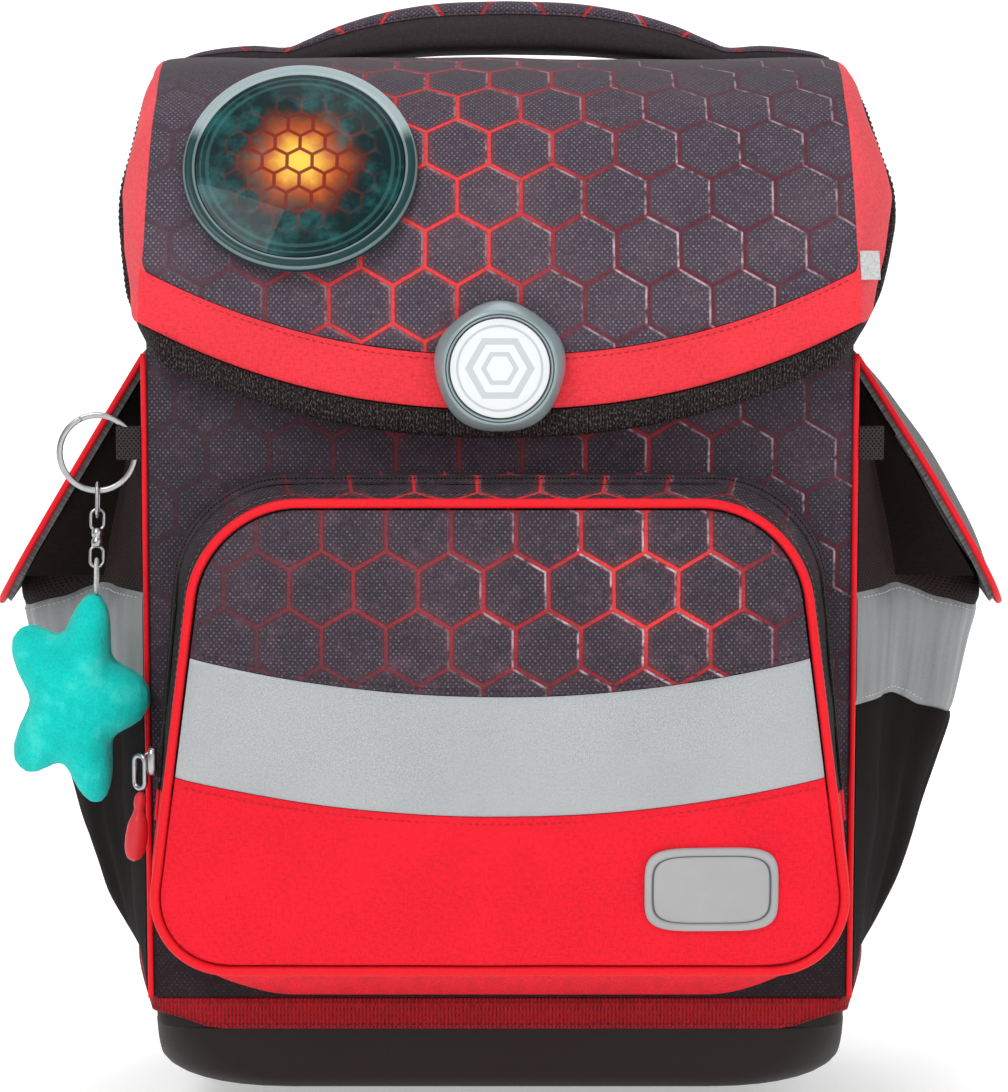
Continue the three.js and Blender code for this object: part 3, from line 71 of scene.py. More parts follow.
def high(node):
    """Highest corner of a frame node."""
    return np.array(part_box(node)[1]) / MM


# Driving sizes, from the frame where a node's box gives them.
BODY_FRONT = low("front_panel")[1]
BODY_BACK = high("back_panel")[1]
BODY_HALF_FRONT = 140
BODY_HALF_BACK = 147
PANEL_LOW = low("front_panel")[2]
FRONT_PANEL_TOP = high("front_panel")[2]
PANEL_WALL = 3
BASE_HEIGHT = high("base_tray")[2]
LID_FRONT = low("lid_band")[1]
LID_BACK = high("lid_panel")[1]
LID_LOW = 268
LID_TOP = 416.5
LID_HALF_WIDTH = 141.2
LID_WALL = 4
HEM_CORNER_RISE = 34
BAND_HEIGHT = 21
BINDING_WIDTH = 11
BINDING_WALL = 5.6
WING_DEPTH = 39
WING_WALL = 3
WING_FLARE = {1: 20, -1: 13.5}
HANDS = ((-1, "left"), (1, "right"))


class RanselSizes(bpy.types.PropertyGroup):
    """Sizes of the trim that can be changed without touching the frame."""

    comb_width: bpy.props.FloatProperty(
        name="Comb width", description="Width of one printed hexagon, flat to flat",
        default=25 * MM, unit="LENGTH")
    comb_line: bpy.props.FloatProperty(
        name="Comb line", description="Width of the printed line between hexagons",
        default=1.3 * MM, unit="LENGTH")
    dot_pitch: bpy.props.FloatProperty(
        name="Dot pitch", description="Distance between the pale dots woven into the printed cloth",
        default=2.1 * MM, unit="LENGTH")
    weave_pitch: bpy.props.FloatProperty(
        name="Weave pitch", description="Distance between threads of the plain cloth",
        default=0.85 * MM, unit="LENGTH")
    stitch_pitch: bpy.props.FloatProperty(
        name="Stitch pitch", description="Distance from one stitch to the next",
        default=2.9 * MM, unit="LENGTH")
    stitch_radius: bpy.props.FloatProperty(
        name="Stitch thickness", description="Half the thickness of the sewing thread",
        default=0.24 * MM, unit="LENGTH")
    pocket_crown: bpy.props.FloatProperty(
        name="Pocket crown", description="How far the front pocket swells in its middle",
        default=8 * MM, unit="LENGTH")
    ripple: bpy.props.FloatProperty(
        name="Ripple", description="Height of the soft waves in the cloth",
        default=0.5 * MM, unit="LENGTH")


def colour(name, description, default):
    return bpy.props.FloatVectorProperty(
        name=name, description=description, default=default, subtype="COLOR", size=3, min=0, max=1)


class RanselColours(bpy.types.PropertyGroup):
    """Colours of the cloths and fittings."""

    cell: colour("Hexagon", "Ground colour of the printed cloth", (0.058, 0.044, 0.060))
    dot: colour("Dots", "Pale dots of the printed cloth", (0.34, 0.31, 0.38))
    line_bright: colour("Glowing line", "Printed lines where they glow", (0.80, 0.045, 0.045))
    line_dark: colour("Dim line", "Printed lines where they are dim", (0.14, 0.010, 0.022))
    line_light: colour("Light line", "Pale edge beside the printed lines", (0.62, 0.48, 0.55))
    red: colour("Red cloth", "Plain red cloth", (0.80, 0.010, 0.026))
    red_trim: colour("Red trim", "Piping", (0.78, 0.006, 0.016))
    webbing: colour("Red webbing", "Ribbed webbing round the base", (0.33, 0.007, 0.013))
    black: colour("Black cloth", "Side pockets and panels", (0.0085, 0.006, 0.006))
    binding: colour("Binding", "Ribbed tape round the lid", (0.034, 0.024, 0.024))
    mesh: colour("Mesh", "Spacer mesh", (0.016, 0.010, 0.010))
    heather: colour("Heather", "Grey heather cloth of the flaps", (0.13, 0.122, 0.125))
    reflective: colour("Reflective", "Reflective tape", (0.395, 0.415, 0.425))
    shell: colour("Base", "Moulded base", (0.0105, 0.0068, 0.0068))
    bezel: colour("Lock ring", "Lacquered ring of the lock", (0.20, 0.26, 0.27))
    disc: colour("Lock disc", "Disc of the lock", (0.72, 0.75, 0.77))
    disc_mark: colour("Lock mark", "Pale pattern on the lock's disc", (0.42, 0.46, 0.48))
    badge: colour("Badge", "Ground of the badge", (0.003, 0.016, 0.018))
    badge_rim: colour("Badge rim", "Rim of the badge", (0.004, 0.035, 0.037))
    ember: colour("Ember", "Glowing lines of the badge", (0.95, 0.16, 0.02))
    rubber: colour("Rubber pull", "Soft tab of the zip", (0.60, 0.030, 0.042))
    patch: colour("Rubber patch", "Moulded patch", (0.36, 0.365, 0.37))
    plush: colour("Plush", "Pile of the star", (0.004, 0.58, 0.52))
    floor: colour("Floor", "Floor and backdrop", (0.92, 0.92, 0.92))


# Curves and grids of points


def norm(vectors):
    """Vectors divided by their lengths."""
    return vectors / np.maximum(np.linalg.norm(vectors, axis=-1, keepdims=True), 1e-12)


def lerp(a, b, t):
    return a + (b - a) * t


def smooth(t):
    """0 to 1 with level ends: the cubic 3t² - 2t³."""
    t = np.clip(t, 0, 1)
    return t * t * (3 - 2 * t)


def spline(points, per_span=24):
    """Smooth curve through points, as a dense polyline: each span is a cubic whose end slopes come from
    its neighbours, with its knots spaced by the square root of the chord."""
    p = np.asarray(points, float)
    p = np.vstack([2 * p[0] - p[1], p, 2 * p[-1] - p[-2]])
    step = np.maximum(np.linalg.norm(np.diff(p, axis=0), axis=1), 1e-12) ** 0.5
    spans = len(p) - 3
    p0, p1, p2, p3 = (p[i:spans + i] for i in range(4))
    d0, d1, d2 = (step[i:spans + i, None] for i in range(3))
    slope1 = ((p1 - p0) / d0 - (p2 - p0) / (d0 + d1) + (p2 - p1) / d1) * d1
    slope2 = ((p2 - p1) / d1 - (p3 - p1) / (d1 + d2) + (p3 - p2) / d2) * d1
    t = np.linspace(0, 1, per_span, endpoint=False)[:, None, None]
    cubic = ((2 * t**3 - 3 * t**2 + 1) * p1 + (t**3 - 2 * t**2 + t) * slope1
             + (3 * t**2 - 2 * t**3) * p2 + (t**3 - t**2) * slope2)
    return np.vstack([cubic.transpose(1, 0, 2).reshape(-1, p.shape[1]), p[-2]])


def table(rows):
    """A smooth function through rows of (at, value)."""
    dense = spline(rows)
    return lambda at: np.interp(at, dense[:, 0], dense[:, 1])


class Path:
    """A polyline that is read at distances along it."""

    def __init__(self, points):
        self.points = np.asarray(points, float)
        gaps = np.linalg.norm(np.diff(self.points, axis=0), axis=1)
        self.far = np.concatenate([[0], np.cumsum(gaps)])
        self.length = self.far[-1]

    def at(self, s):
        s = np.clip(s, 0, self.length)
        return np.stack([np.interp(s, self.far, c) for c in self.points.T], axis=-1)

    def even(self, count):
        return self.at(np.linspace(0, self.length, count))


def normals(points, towards):
    """Unit normals of a grid: the cross product of its steps along columns and rows, turned towards a side."""
    n = norm(np.cross(np.gradient(points, axis=1), np.gradient(points, axis=0)))
    side = np.broadcast_to(np.asarray(towards, float), n.shape)
    return n * np.sign((n * side).sum())


def run_length(points, axis):
    """Distance along one axis of a grid, measured on its middle line and repeated over the grid."""
    lines = np.moveaxis(points, axis, 0)
    middle = lines[:, lines.shape[1] // 2]
    far = np.concatenate([[0], np.cumsum(np.linalg.norm(np.diff(middle, axis=0), axis=1))])
    far -= far[-1] / 2
    return np.moveaxis(np.broadcast_to(far[:, None], lines.shape[:2]), 0, axis)


def arc_uv(points):
    """Texture place of each grid point in metres: the distances along its row and its column."""
    return np.stack([run_length(points, 1), run_length(points, 0)], axis=-1)


def ripple(points, height, size=0.03):
    """Soft waves: the mean of four sines of the place, in directions that don't line up."""
    x, y, z = np.moveaxis(np.asarray(points) / size, -1, 0)
    waves = (np.sin(1.3 * x + 0.9 * z + 1.1 * y) + np.sin(1.9 * z - 0.7 * x + 1.7 * y + 1)
             + np.sin(0.6 * x + 0.5 * z - 1.3 * y + 2) + np.sin(2.7 * x - 2.1 * z + 0.4 * y + 4))
    return height * waves[..., None] / 4


def ring_quads(rows, columns):
    """Corner numbers of a grid's quads."""
    first = (np.arange(rows - 1)[:, None] * columns + np.arange(columns - 1)).ravel()
    return np.stack([first, first + 1, first + columns + 1, first + columns], axis=-1)


def piece(name, grids, material, nodes=(), sharp=50):
    """One mesh of grids. Each is (points, uv), where points is (rows, columns, 3) or a batch of such grids.
    Shared edges are welded and the faces turned outwards."""
    all_points, all_uvs, all_quads, start = [], [], [], 0
    for points, uv in grids:
        points = np.asarray(points, float)
        batch = points if points.ndim == 4 else points[None]
        count, rows, columns = batch.shape[:3]
        uvs = np.zeros((count, rows, columns, 2)) if uv is None else np.broadcast_to(
            uv, (count, rows, columns, 2))
        offsets = start + np.arange(count)[:, None, None] * rows * columns
        all_quads.append((ring_quads(rows, columns)[None] + offsets).reshape(-1, 4))
        all_points.append(batch.reshape(-1, 3))
        all_uvs.append(uvs.reshape(-1, 2))
        start += count * rows * columns
    points, uvs, quads = np.vstack(all_points) * MM, np.vstack(all_uvs) * MM, np.vstack(all_quads)
    mesh = bpy.data.meshes.new(name)
    mesh.vertices.add(len(points))
    mesh.vertices.foreach_set("co", points.astype(np.float32).ravel())
    mesh.loops.add(quads.size)
    mesh.loops.foreach_set("vertex_index", quads.astype(np.int32).ravel())
    mesh.polygons.add(len(quads))
    mesh.polygons.foreach_set("loop_start", np.arange(0, quads.size, 4, dtype=np.int32))
    mesh.polygons.foreach_set("use_smooth", np.ones(len(quads), bool))
    mesh.update(calc_edges=True)
    layer = mesh.uv_layers.new(name="UVMap")
    layer.data.foreach_set("uv", uvs[quads.ravel()].astype(np.float32).ravel())
    work = bmesh.new()
    work.from_mesh(mesh)
    bmesh.ops.remove_doubles(work, verts=work.verts, dist=2e-6)
    bmesh.ops.dissolve_degenerate(work, edges=work.edges, dist=1e-7)
    bmesh.ops.recalc_face_normals(work, faces=work.faces)
    work.to_mesh(mesh)
    work.free()
    mesh.set_sharp_from_angle(angle=math.radians(sharp))
    mesh.materials.append(material)
    obj = bpy.data.objects.new(name, mesh)
    bpy.context.scene.collection.objects.link(obj)
    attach(obj, BODY)
    if nodes:
        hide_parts(*nodes)
    return obj


def shell_grids(outer, inner, uv, ring=False):
    """Grids of a closed wall between two grids of the same size. A ring joins its last column to its first."""
    grids = [(outer, uv), (inner, uv)]
    for row in (0, -1):
        grids.append((np.stack([outer[row], inner[row]]), np.stack([uv[row], uv[row]])))
    if not ring:
        for column in (0, -1):
            grids.append((np.stack([outer[:, column], inner[:, column]]),
                          np.stack([uv[:, column], uv[:, column]])))
    return grids


def cloth(name, points, towards, wall, material, nodes, uv=None, inward=None, ring=False):
    """A closed sheet of cloth: the grid is its outer face, and its inner face lies one wall behind, along the
    grid's normals or along inward. Its flat size is the grid's own length and width, laid out flat."""
    uv = arc_uv(points) if uv is None else uv
    inner = points - normals(points, towards) * wall if inward is None else points + inward
    obj = piece(name, shell_grids(points, inner, uv, ring), material, nodes)
    return obj


def tube_grid(path, radius, up, sides=12, closed=False, flat=1.0):
    """A cord along a path: circles across it, laid out from the direction up. flat narrows them along up.
    Returns its points and its texture place: distance round and distance along."""
    path = np.asarray(path, float)
    if closed:
        path = np.vstack([path, path[:1]])
        ahead, behind = np.vstack([path[1:], path[1:2]]), np.vstack([path[-2:-1], path[:-1]])
    else:
        ahead, behind = np.vstack([path[1:], path[-1:]]), np.vstack([path[:1], path[:-1]])
    tangent = norm(ahead - behind)
    side = norm(np.cross(tangent, np.broadcast_to(up, tangent.shape)))
    across = np.cross(side, tangent)
    a = np.linspace(0, 2 * np.pi, sides + 1)[None, :, None]
    radius = np.broadcast_to(np.asarray(radius, float).reshape(-1, 1, 1), (len(path), 1, 1))
    points = path[:, None] + radius * (np.cos(a) * side[:, None] + flat * np.sin(a) * across[:, None])
    far = np.concatenate([[0], np.cumsum(np.linalg.norm(np.diff(path, axis=0), axis=1))])
    around = np.linspace(0, 2 * np.pi, sides + 1) * float(radius.mean())
    uv = np.stack(np.broadcast_arrays(around[None, :], far[:, None]), axis=-1)
    return points, uv


def capped(points, uv, steps=3):
    """Grids of a tube with its two ends closed to their middles."""
    grids = [(points, uv)]
    for row in (0, -1):
        middle = points[row, :-1].mean(axis=0)
        t = np.linspace(0, 1, steps)[:, None, None]
        grids.append((lerp(points[row][None], middle, t), np.broadcast_to(uv[row], (steps, len(uv[row]), 2))))
    return grids


def stitch_batch(path, normal, pitch, radius, length=0.72, sunk=0.35):
    """Stitches along a path: short round-ended threads, one each pitch, half sunk into the cloth.
    Each is a row of circles whose radius follows a half circle."""
    line = Path(path)
    count = max(int(line.length / pitch), 2)
    s = (np.arange(count) + 0.5) * line.length / count
    centre = line.at(s)
    tangent = norm(line.at(s + pitch / 4) - line.at(s - pitch / 4))
    normal = np.asarray(normal, float)
    if normal.ndim == 2:
        normal = np.stack([np.interp(s, line.far, c) for c in normal.T], axis=-1)
    out = norm(np.broadcast_to(normal, tangent.shape))
    side = np.cross(tangent, out)
    along = np.linspace(-1, 1, 5)
    thick = radius * np.sqrt(np.clip(1 - along**2, 0, 1))
    a = np.linspace(0, 2 * np.pi, 7)
    rings = (np.cos(a)[None, :, None] * out[:, None, None] + np.sin(a)[None, :, None] * side[:, None, None])
    return (centre[:, None, None] + out[:, None, None] * radius * (1 - 2 * sunk)
            + tangent[:, None, None] * (along * pitch * length / 2)[None, :, None, None]
            + rings * thick[None, :, None, None])


def stitches(name, lines, material):
    """One piece of sewing thread along several lines, each (path, normal)."""
    pitch, radius = sizes().stitch_pitch / MM, sizes().stitch_radius / MM
    grids = [(stitch_batch(path, normal, pitch, radius), None)
             for path, normal in lines]
    return piece(name, grids, material, (), sharp=180)


def lathe_grid(profile, centre, axis, segments=96, wave=None):
    """A turned shape: (radius, height) pairs carried round an axis. wave changes the radius by the angle."""
    axis = norm(np.asarray(axis, float))
    right = norm(np.cross(axis, [0, 0, 1.0]))
    up = np.cross(right, axis)
    profile = np.asarray(profile, float)
    a = np.linspace(0, 2 * np.pi, segments + 1)
    radius = np.broadcast_to(profile[:, :1], (len(profile), len(a)))
    if wave is not None:
        radius = radius * wave(a, profile)
    points = (centre + profile[:, 1][:, None, None] * axis + (radius * np.cos(a))[..., None] * right
              + (radius * np.sin(a))[..., None] * up)
    uv = np.stack([radius * np.cos(a), radius * np.sin(a)], axis=-1)
    return points, uv


def loft_grids(rings, uv=None):
    """Grids of a closed shape through closed rings, with both ends filled to their middles."""
    rings = np.asarray(rings, float)
    rings = np.concatenate([rings, rings[:, :1]], axis=1)
    uv = arc_uv(rings) if uv is None else uv
    return capped(rings, uv)


# Form of the bag: the same formulas that the frame is made with


LID_SHARES = np.array([
    [0, 0], [0, 0.148], [0.005, 0.28], [0.023, 0.428], [0.062, 0.564], [0.115, 0.697], [0.182, 0.818],
    [0.276, 0.908], [0.38, 0.969], [0.51, 0.997], [0.682, 1], [0.844, 0.987], [1, 0.966]])
LID = Path(spline(np.stack([lerp(LID_FRONT, LID_BACK, LID_SHARES[:, 0]),
                            lerp(LID_LOW, LID_TOP, LID_SHARES[:, 1])], axis=-1)))
# Along the lid: share of its length, its half width, the wing's depth and the wing's flare.
LID_SECTIONS = np.array([
    [0, 1, 0.28, 0.06], [0.12, 1, 0.38, 0.16], [0.2, 0.997, 0.8, 0.42], [0.28, 0.992, 0.97, 0.74],
    [0.38, 0.985, 1, 1], [0.5, 0.98, 0.86, 0.74], [0.62, 0.985, 0.6, 0.45], [0.8, 1.005, 0.55, 0.34],
    [1, 1.032, 0.55, 0.28]])


def section(s, column):
    return np.interp(s / LID.length, LID_SECTIONS[:, 0], LID_SECTIONS[:, column])


def lid_normal(s):
    """Outward normal of the lid's profile: its tangent turned a quarter."""
    tangent = norm(LID.at(s + 0.3) - LID.at(s - 0.3))
    return np.stack([np.zeros_like(s), -tangent[..., 1], tangent[..., 0]], axis=-1)


def lid_point(side, s, proud=0.0):
    """Point of the lid: side from -1 to 1 across it, s along its profile, proud above it."""
    side, s, proud = np.broadcast_arrays(np.asarray(side, float), np.asarray(s, float), proud)
    place = LID.at(s)
    point = np.stack([np.zeros_like(s), place[..., 0], place[..., 1]], axis=-1) + lid_normal(s) * proud[..., None]
    point[..., 0] = side * LID_HALF_WIDTH * section(s, 1)
    return point


def hem_rise(side):
    return HEM_CORNER_RISE * np.abs(side) ** 2.2


def wing_point(hand, across, s):
    """Point of the lid's wing: it goes down from the lid's edge and flares out more the further it goes."""
    across, s = np.broadcast_arrays(np.asarray(across, float), np.asarray(s, float))
    point = lid_point(hand, s) - lid_normal(s) * (WING_DEPTH * section(s, 2) * across)[..., None]
    point[..., 0] += hand * WING_FLARE[hand] * section(s, 3) * (1 - (1 - across) ** 2)
    return point


def wing_normal(hand, across, s):
    along = wing_point(hand, across, s + 0.5) - wing_point(hand, across, s - 0.5)
    down = wing_point(hand, across + 0.02, s) - wing_point(hand, across - 0.02, s)
    n = norm(np.cross(along, down))
    return n * np.sign(n[..., :1] * hand)


def wing_share(s, distance):
    return distance / (WING_DEPTH * section(s, 2))


def side_x(y):
    return lerp(BODY_HALF_FRONT, BODY_HALF_BACK, (y - BODY_FRONT) / (BODY_BACK - BODY_FRONT))


def side_swing(y):
    """How the webbing swings along the side, from 0 at its corners to 1 halfway: half a sine."""
    front, back = BODY_FRONT + 8, BODY_BACK - 8
    return np.clip(np.sin(np.pi * (y - front) / (back - front)), 0, None)


def body_loop(z, inset, corner, bulge=0.0, rise=0.0):
    """A loop round the body, inset from its outline, with round corners; its sides may swing out and up."""
    front, back = BODY_FRONT + inset, BODY_BACK - inset
    a = np.linspace(-np.pi / 2, 0, 9)
    y0, cut0 = front + corner * (1 + np.sin(a)), corner * (1 - np.cos(a))
    y1 = np.linspace(front + corner, back - corner, 42)[1:-1]
    a = np.linspace(0, np.pi / 2, 9)
    y2, cut2 = back - corner * (1 - np.sin(a)), corner * (1 - np.cos(a))
    y = np.concatenate([y0, y1, y2])
    swing = side_swing(y) * ((y > front + corner) & (y < back - corner))
    x = side_x(y) - inset + bulge * swing - np.concatenate([cut0, np.zeros(len(y1)), cut2])
    right = np.stack([x, y, z + rise * side_swing(y)], axis=-1)
    left = right[::-1] * [-1, 1, 1]
    t = np.linspace(0, 1, 40)[1:-1, None]
    return np.vstack([right, lerp(right[-1], left[0], t), left, lerp(left[-1], right[0], t)])


def pocket_outline(share, grow=0.0):
    """Outline of the pocket's gusset: share 0 at the body and 1 at the rim; it swells between them."""
    swell = math.sin(math.pi * share)
    return {"low": lerp(41.5, 62, share) - grow, "top": lerp(253, 245, share) + 2.5 * swell + grow,
            "half_low": lerp(140.3, 138.3, share) + 2.4 * swell + grow,
            "half_top": lerp(126, 114.8, share) + 2.5 * swell + grow,
            "corner_low": lerp(58, 33, share) + grow, "corner_top": lerp(42, 37, share) + grow}


def outline_half(outline, z):
    """Half the outline's width at a height: a straight line less its two round corners."""
    def rounded(corner, start):
        past = np.clip(corner - start, 0, corner)
        return corner - np.sqrt(corner**2 - past**2)
    up = (z - outline["low"]) / (outline["top"] - outline["low"])
    return (lerp(outline["half_low"], outline["half_top"], up) - rounded(outline["corner_low"], z - outline["low"])
            - rounded(outline["corner_top"], outline["top"] - z))


def outline_run(outline, upper, split, count):
    """The upper or lower run of the outline as (x, z), evenly spaced from its right end to its left."""
    corner, end, turn = ((outline["corner_top"], outline["top"], -1) if upper
                         else (outline["corner_low"], outline["low"], 1))
    t = np.linspace(0, 1, 40)
    z = np.concatenate([lerp(split, end + turn * corner, t)[:-1], end + turn * corner * (1 - np.sin(t * np.pi / 2))])
    right = np.stack([outline_half(outline, z), z], axis=-1)
    return Path(np.vstack([right, right[::-1] * [-1, 1]])).even(count)


def rim_y(z):
    return BODY_FRONT - lerp(45, 40, (z - 62) / 183)


def gusset_grid(upper, split, shares, grow, count, back=2.4):
    """Rows of the gusset at shares of its depth: each row is a run of the outline there."""
    runs = np.stack([outline_run(pocket_outline(t, grow), upper, split, count) for t in shares])
    y = lerp(BODY_FRONT - SEAM, rim_y(runs[..., 1]) + back, np.asarray(shares)[:, None])
    return np.stack([runs[..., 0], y, runs[..., 1]], axis=-1)


def pocket_face(x, z, proud=0.0):
    """Front of the pocket: a crowned face, with a parabola across and a parabola up."""
    crown = bpy.context.scene.ransel_sizes.pocket_crown / MM
    across, up = np.clip(x / 134.5, -1, 1), np.clip(2 * (z - 62) / 183 - 1, -1, 1)
    x, y = np.broadcast_arrays(x, rim_y(z) - crown * (1 - across**2) * (1 - up**2) - proud)
    return np.stack([x, y, np.broadcast_to(z, x.shape)], axis=-1)


POCKET_OUT = table([[0, 0], [0.02, 0.2], [0.1, 0.385], [0.19, 0.52], [0.28, 0.625], [0.38, 0.73], [0.48, 0.835],
                    [0.58, 0.92], [0.69, 1], [0.8, 0.77], [0.9, 0.55], [1, 0.33]])
POCKET_DEPTHS = table([[0, 0], [0.1, 0.2], [0.21, 0.35], [0.32, 0.72], [0.45, 0.97], [0.58, 1], [0.72, 0.9],
                       [0.86, 0.56], [1, 0]])


def side_pocket_low(along):
    return 40.3 + 8 * side_swing(lerp(-84, 78, along))


def side_pocket_point(hand, along, z):
    """Point of the side pocket: how far it stands out is one table over its height times one along it."""
    along, z = np.broadcast_arrays(np.asarray(along, float), np.asarray(z, float))
    y = lerp(-84, 78, along)
    up = (z - side_pocket_low(along)) / (262 - side_pocket_low(along))
    out = 56 * POCKET_OUT(up) * POCKET_DEPTHS(along)
    return np.stack([hand * (side_x(y) + 2.7 + out), y, z], axis=-1)


def flap_point(hand, across, down, proud=0.0):
    """Point of the side flap: it falls outwards from its root, with a crown in its middle."""
    crown = 8 if hand > 0 else 2.5
    y = across * 58 - 2
    out = 61 * down + crown * np.sin(np.pi * down) * (1 - 0.8 * across**2) + proud
    return np.stack(np.broadcast_arrays(hand * (side_x(y) + 3.3 + out), y, 297 - 102 * down), axis=-1)


def flap_half(down):
    past = np.clip((down - 0.58) / 0.42, 0, 1)
    return 1 - 0.12 * down - 0.45 * (1 - np.sqrt(1 - past**2))


def superellipse(half_x, half_z, power, count=96):
    """A closed outline between an ellipse and a rectangle: cosine and sine raised to a power below 1."""
    a = np.linspace(0, 2 * np.pi, count, endpoint=False)
    c, s = np.cos(a), np.sin(a)
    return half_x * np.sign(c) * np.abs(c) ** power, half_z * np.sign(s) * np.abs(s) ** power


# Pieces


def sizes():
    return bpy.context.scene.ransel_sizes


def seam_dip(distance, deep, wide):
    """How far cloth is pulled in beside a seam: an exponential of the distance from it."""
    return deep * np.exp(-np.clip(distance, 0, None) / wide)


def places(mesh):
    """The mesh's points in millimetres."""
    flat = np.empty(len(mesh.vertices) * 3, np.float32)
    mesh.vertices.foreach_get("co", flat)
    return flat.reshape(-1, 3).astype(float) / MM


def taken(obj):
    """The object's mesh with its modifiers applied."""
    return bpy.data.meshes.new_from_object(obj.evaluated_get(bpy.context.evaluated_depsgraph_get()))


def puff(obj, node, voxel, cap, sew, floor=-1000):
    """Padding: a remeshed copy is blown up as cloth, and no point moves further than cap. Then it is fitted to
    the node's box and sewn. The object takes the finished mesh."""
    scene = bpy.context.scene
    pad = bpy.data.objects.new("padding", obj.data.copy())
    scene.collection.objects.link(pad)
    remesh = pad.modifiers.new("remesh", "REMESH")
    remesh.mode, remesh.voxel_size = "VOXEL", voxel * MM
    mesh = taken(pad)
    pad.modifiers.clear()
    pad.data = mesh
    start = places(mesh)
    blown = pad.modifiers.new("blown", "CLOTH").settings
    blown.quality, blown.use_pressure, blown.uniform_pressure_force = 5, True, 4.0
    blown.effector_weights.gravity = 0
    for number in range(1, 21):
        scene.frame_set(number)
    move = places(taken(pad)) - start
    move *= np.minimum(1, cap / np.maximum(np.linalg.norm(move, axis=1, keepdims=True), 1e-9))
    pad.modifiers.clear()
    mesh.vertices.foreach_set("co", ((start + move) * MM).astype(np.float32).ravel())
    finer = pad.modifiers.new("finer", "SUBSURF")
    finer.levels = finer.render_levels = 1
    mesh = taken(pad)
    points = places(mesh)
    points[:, 1] = np.maximum(points[:, 1], floor)
    first, last = points.min(axis=0), points.max(axis=0)
    points = sew(low(node) + (points - first) / (last - first) * (high(node) - low(node)))
    mesh.vertices.foreach_set("co", (points * MM).astype(np.float32).ravel())
    mesh.polygons.foreach_set("use_smooth", np.ones(len(mesh.polygons), bool))
    corner = np.empty(len(mesh.loops), np.int32)
    mesh.loops.foreach_get("vertex_index", corner)
    layer = mesh.uv_layers.get("UVMap") or mesh.uv_layers.new(name="UVMap")
    layer.data.foreach_set("uv", (points[corner][:, [0, 2]] * MM).astype(np.float32).ravel())
    mesh.materials.clear()
    mesh.materials.append(obj.data.materials[0])
    mesh.update()
    obj.data = mesh
    bpy.data.objects.remove(pad)
    scene.frame_set(1)


def make_base():
    """Tray: rings stacked up its outside, over its rim and down inside. Webbing: one ring of tape."""
    outside = spline([[0, 12, 44], [2, 6.48, 44], [6.4, 2.16, 41.8], [13.6, 0.6, 33.9], [26.4, 0.4, 19.8]], 8)
    rings = [body_loop(z, inset, corner) for z, inset, corner in outside]
    rim = 1.0
    rings += [body_loop(z, inset, corner) for z, inset, corner in (
        (27.3, 0.5, 18), (27.5, rim, 13), (40, rim, 7.4), (40.8, rim + 0.3, 7), (41.1, rim + 1, 7),
        (41.1, rim + 2.4, 7), (40.8, rim + 3, 7), (40, rim + 3.2, 7), (26.4, 3.6, 19.8), (12, 6.4, 36),
        (6, 10.2, 41.8), (3.4, 14, 43), (3.2, 16, 44))]
    piece("tray", loft_grids(rings), material("shell"), ["base_tray"], sharp=38)

    z = np.array([27.5, 27.8, 31, 34, 37, 39.7, 40])
    edge = np.array([0.35, 0, 0, 0, 0, 0, 0.35])
    def tape(height, inset):
        """A loop of the tape: its low edge rises before the corners, and its high edge only round the side."""
        loop = body_loop(height, inset, 8, 9.5, 8)
        up = (height - 27.5) / 12.5
        loop[:, 2] += 6.5 * smooth((np.abs(loop[:, 0]) - lerp(112, 138, up)) / lerp(26, 9, up))
        return loop
    outer = np.stack([tape(a, -0.8 + b) for a, b in zip(z, edge)])
    inner = np.stack([tape(a, 0.7) for a in z])
    outer, inner = (np.concatenate([g, g[:, :1]], axis=1) for g in (outer, inner))
    uv = arc_uv(outer)
    piece("webbing", shell_grids(outer, inner, uv, ring=True), material("webbing"), ["base_webbing"])
    rows = [tape(h, -0.85) for h in (29.2, 38.3)]
    outward = norm(rows[0] * [1, 1, 0] / [1, 0.62, 1])
    stitches("webbing_stitches", [(r, outward) for r in rows], material("thread_dark"))


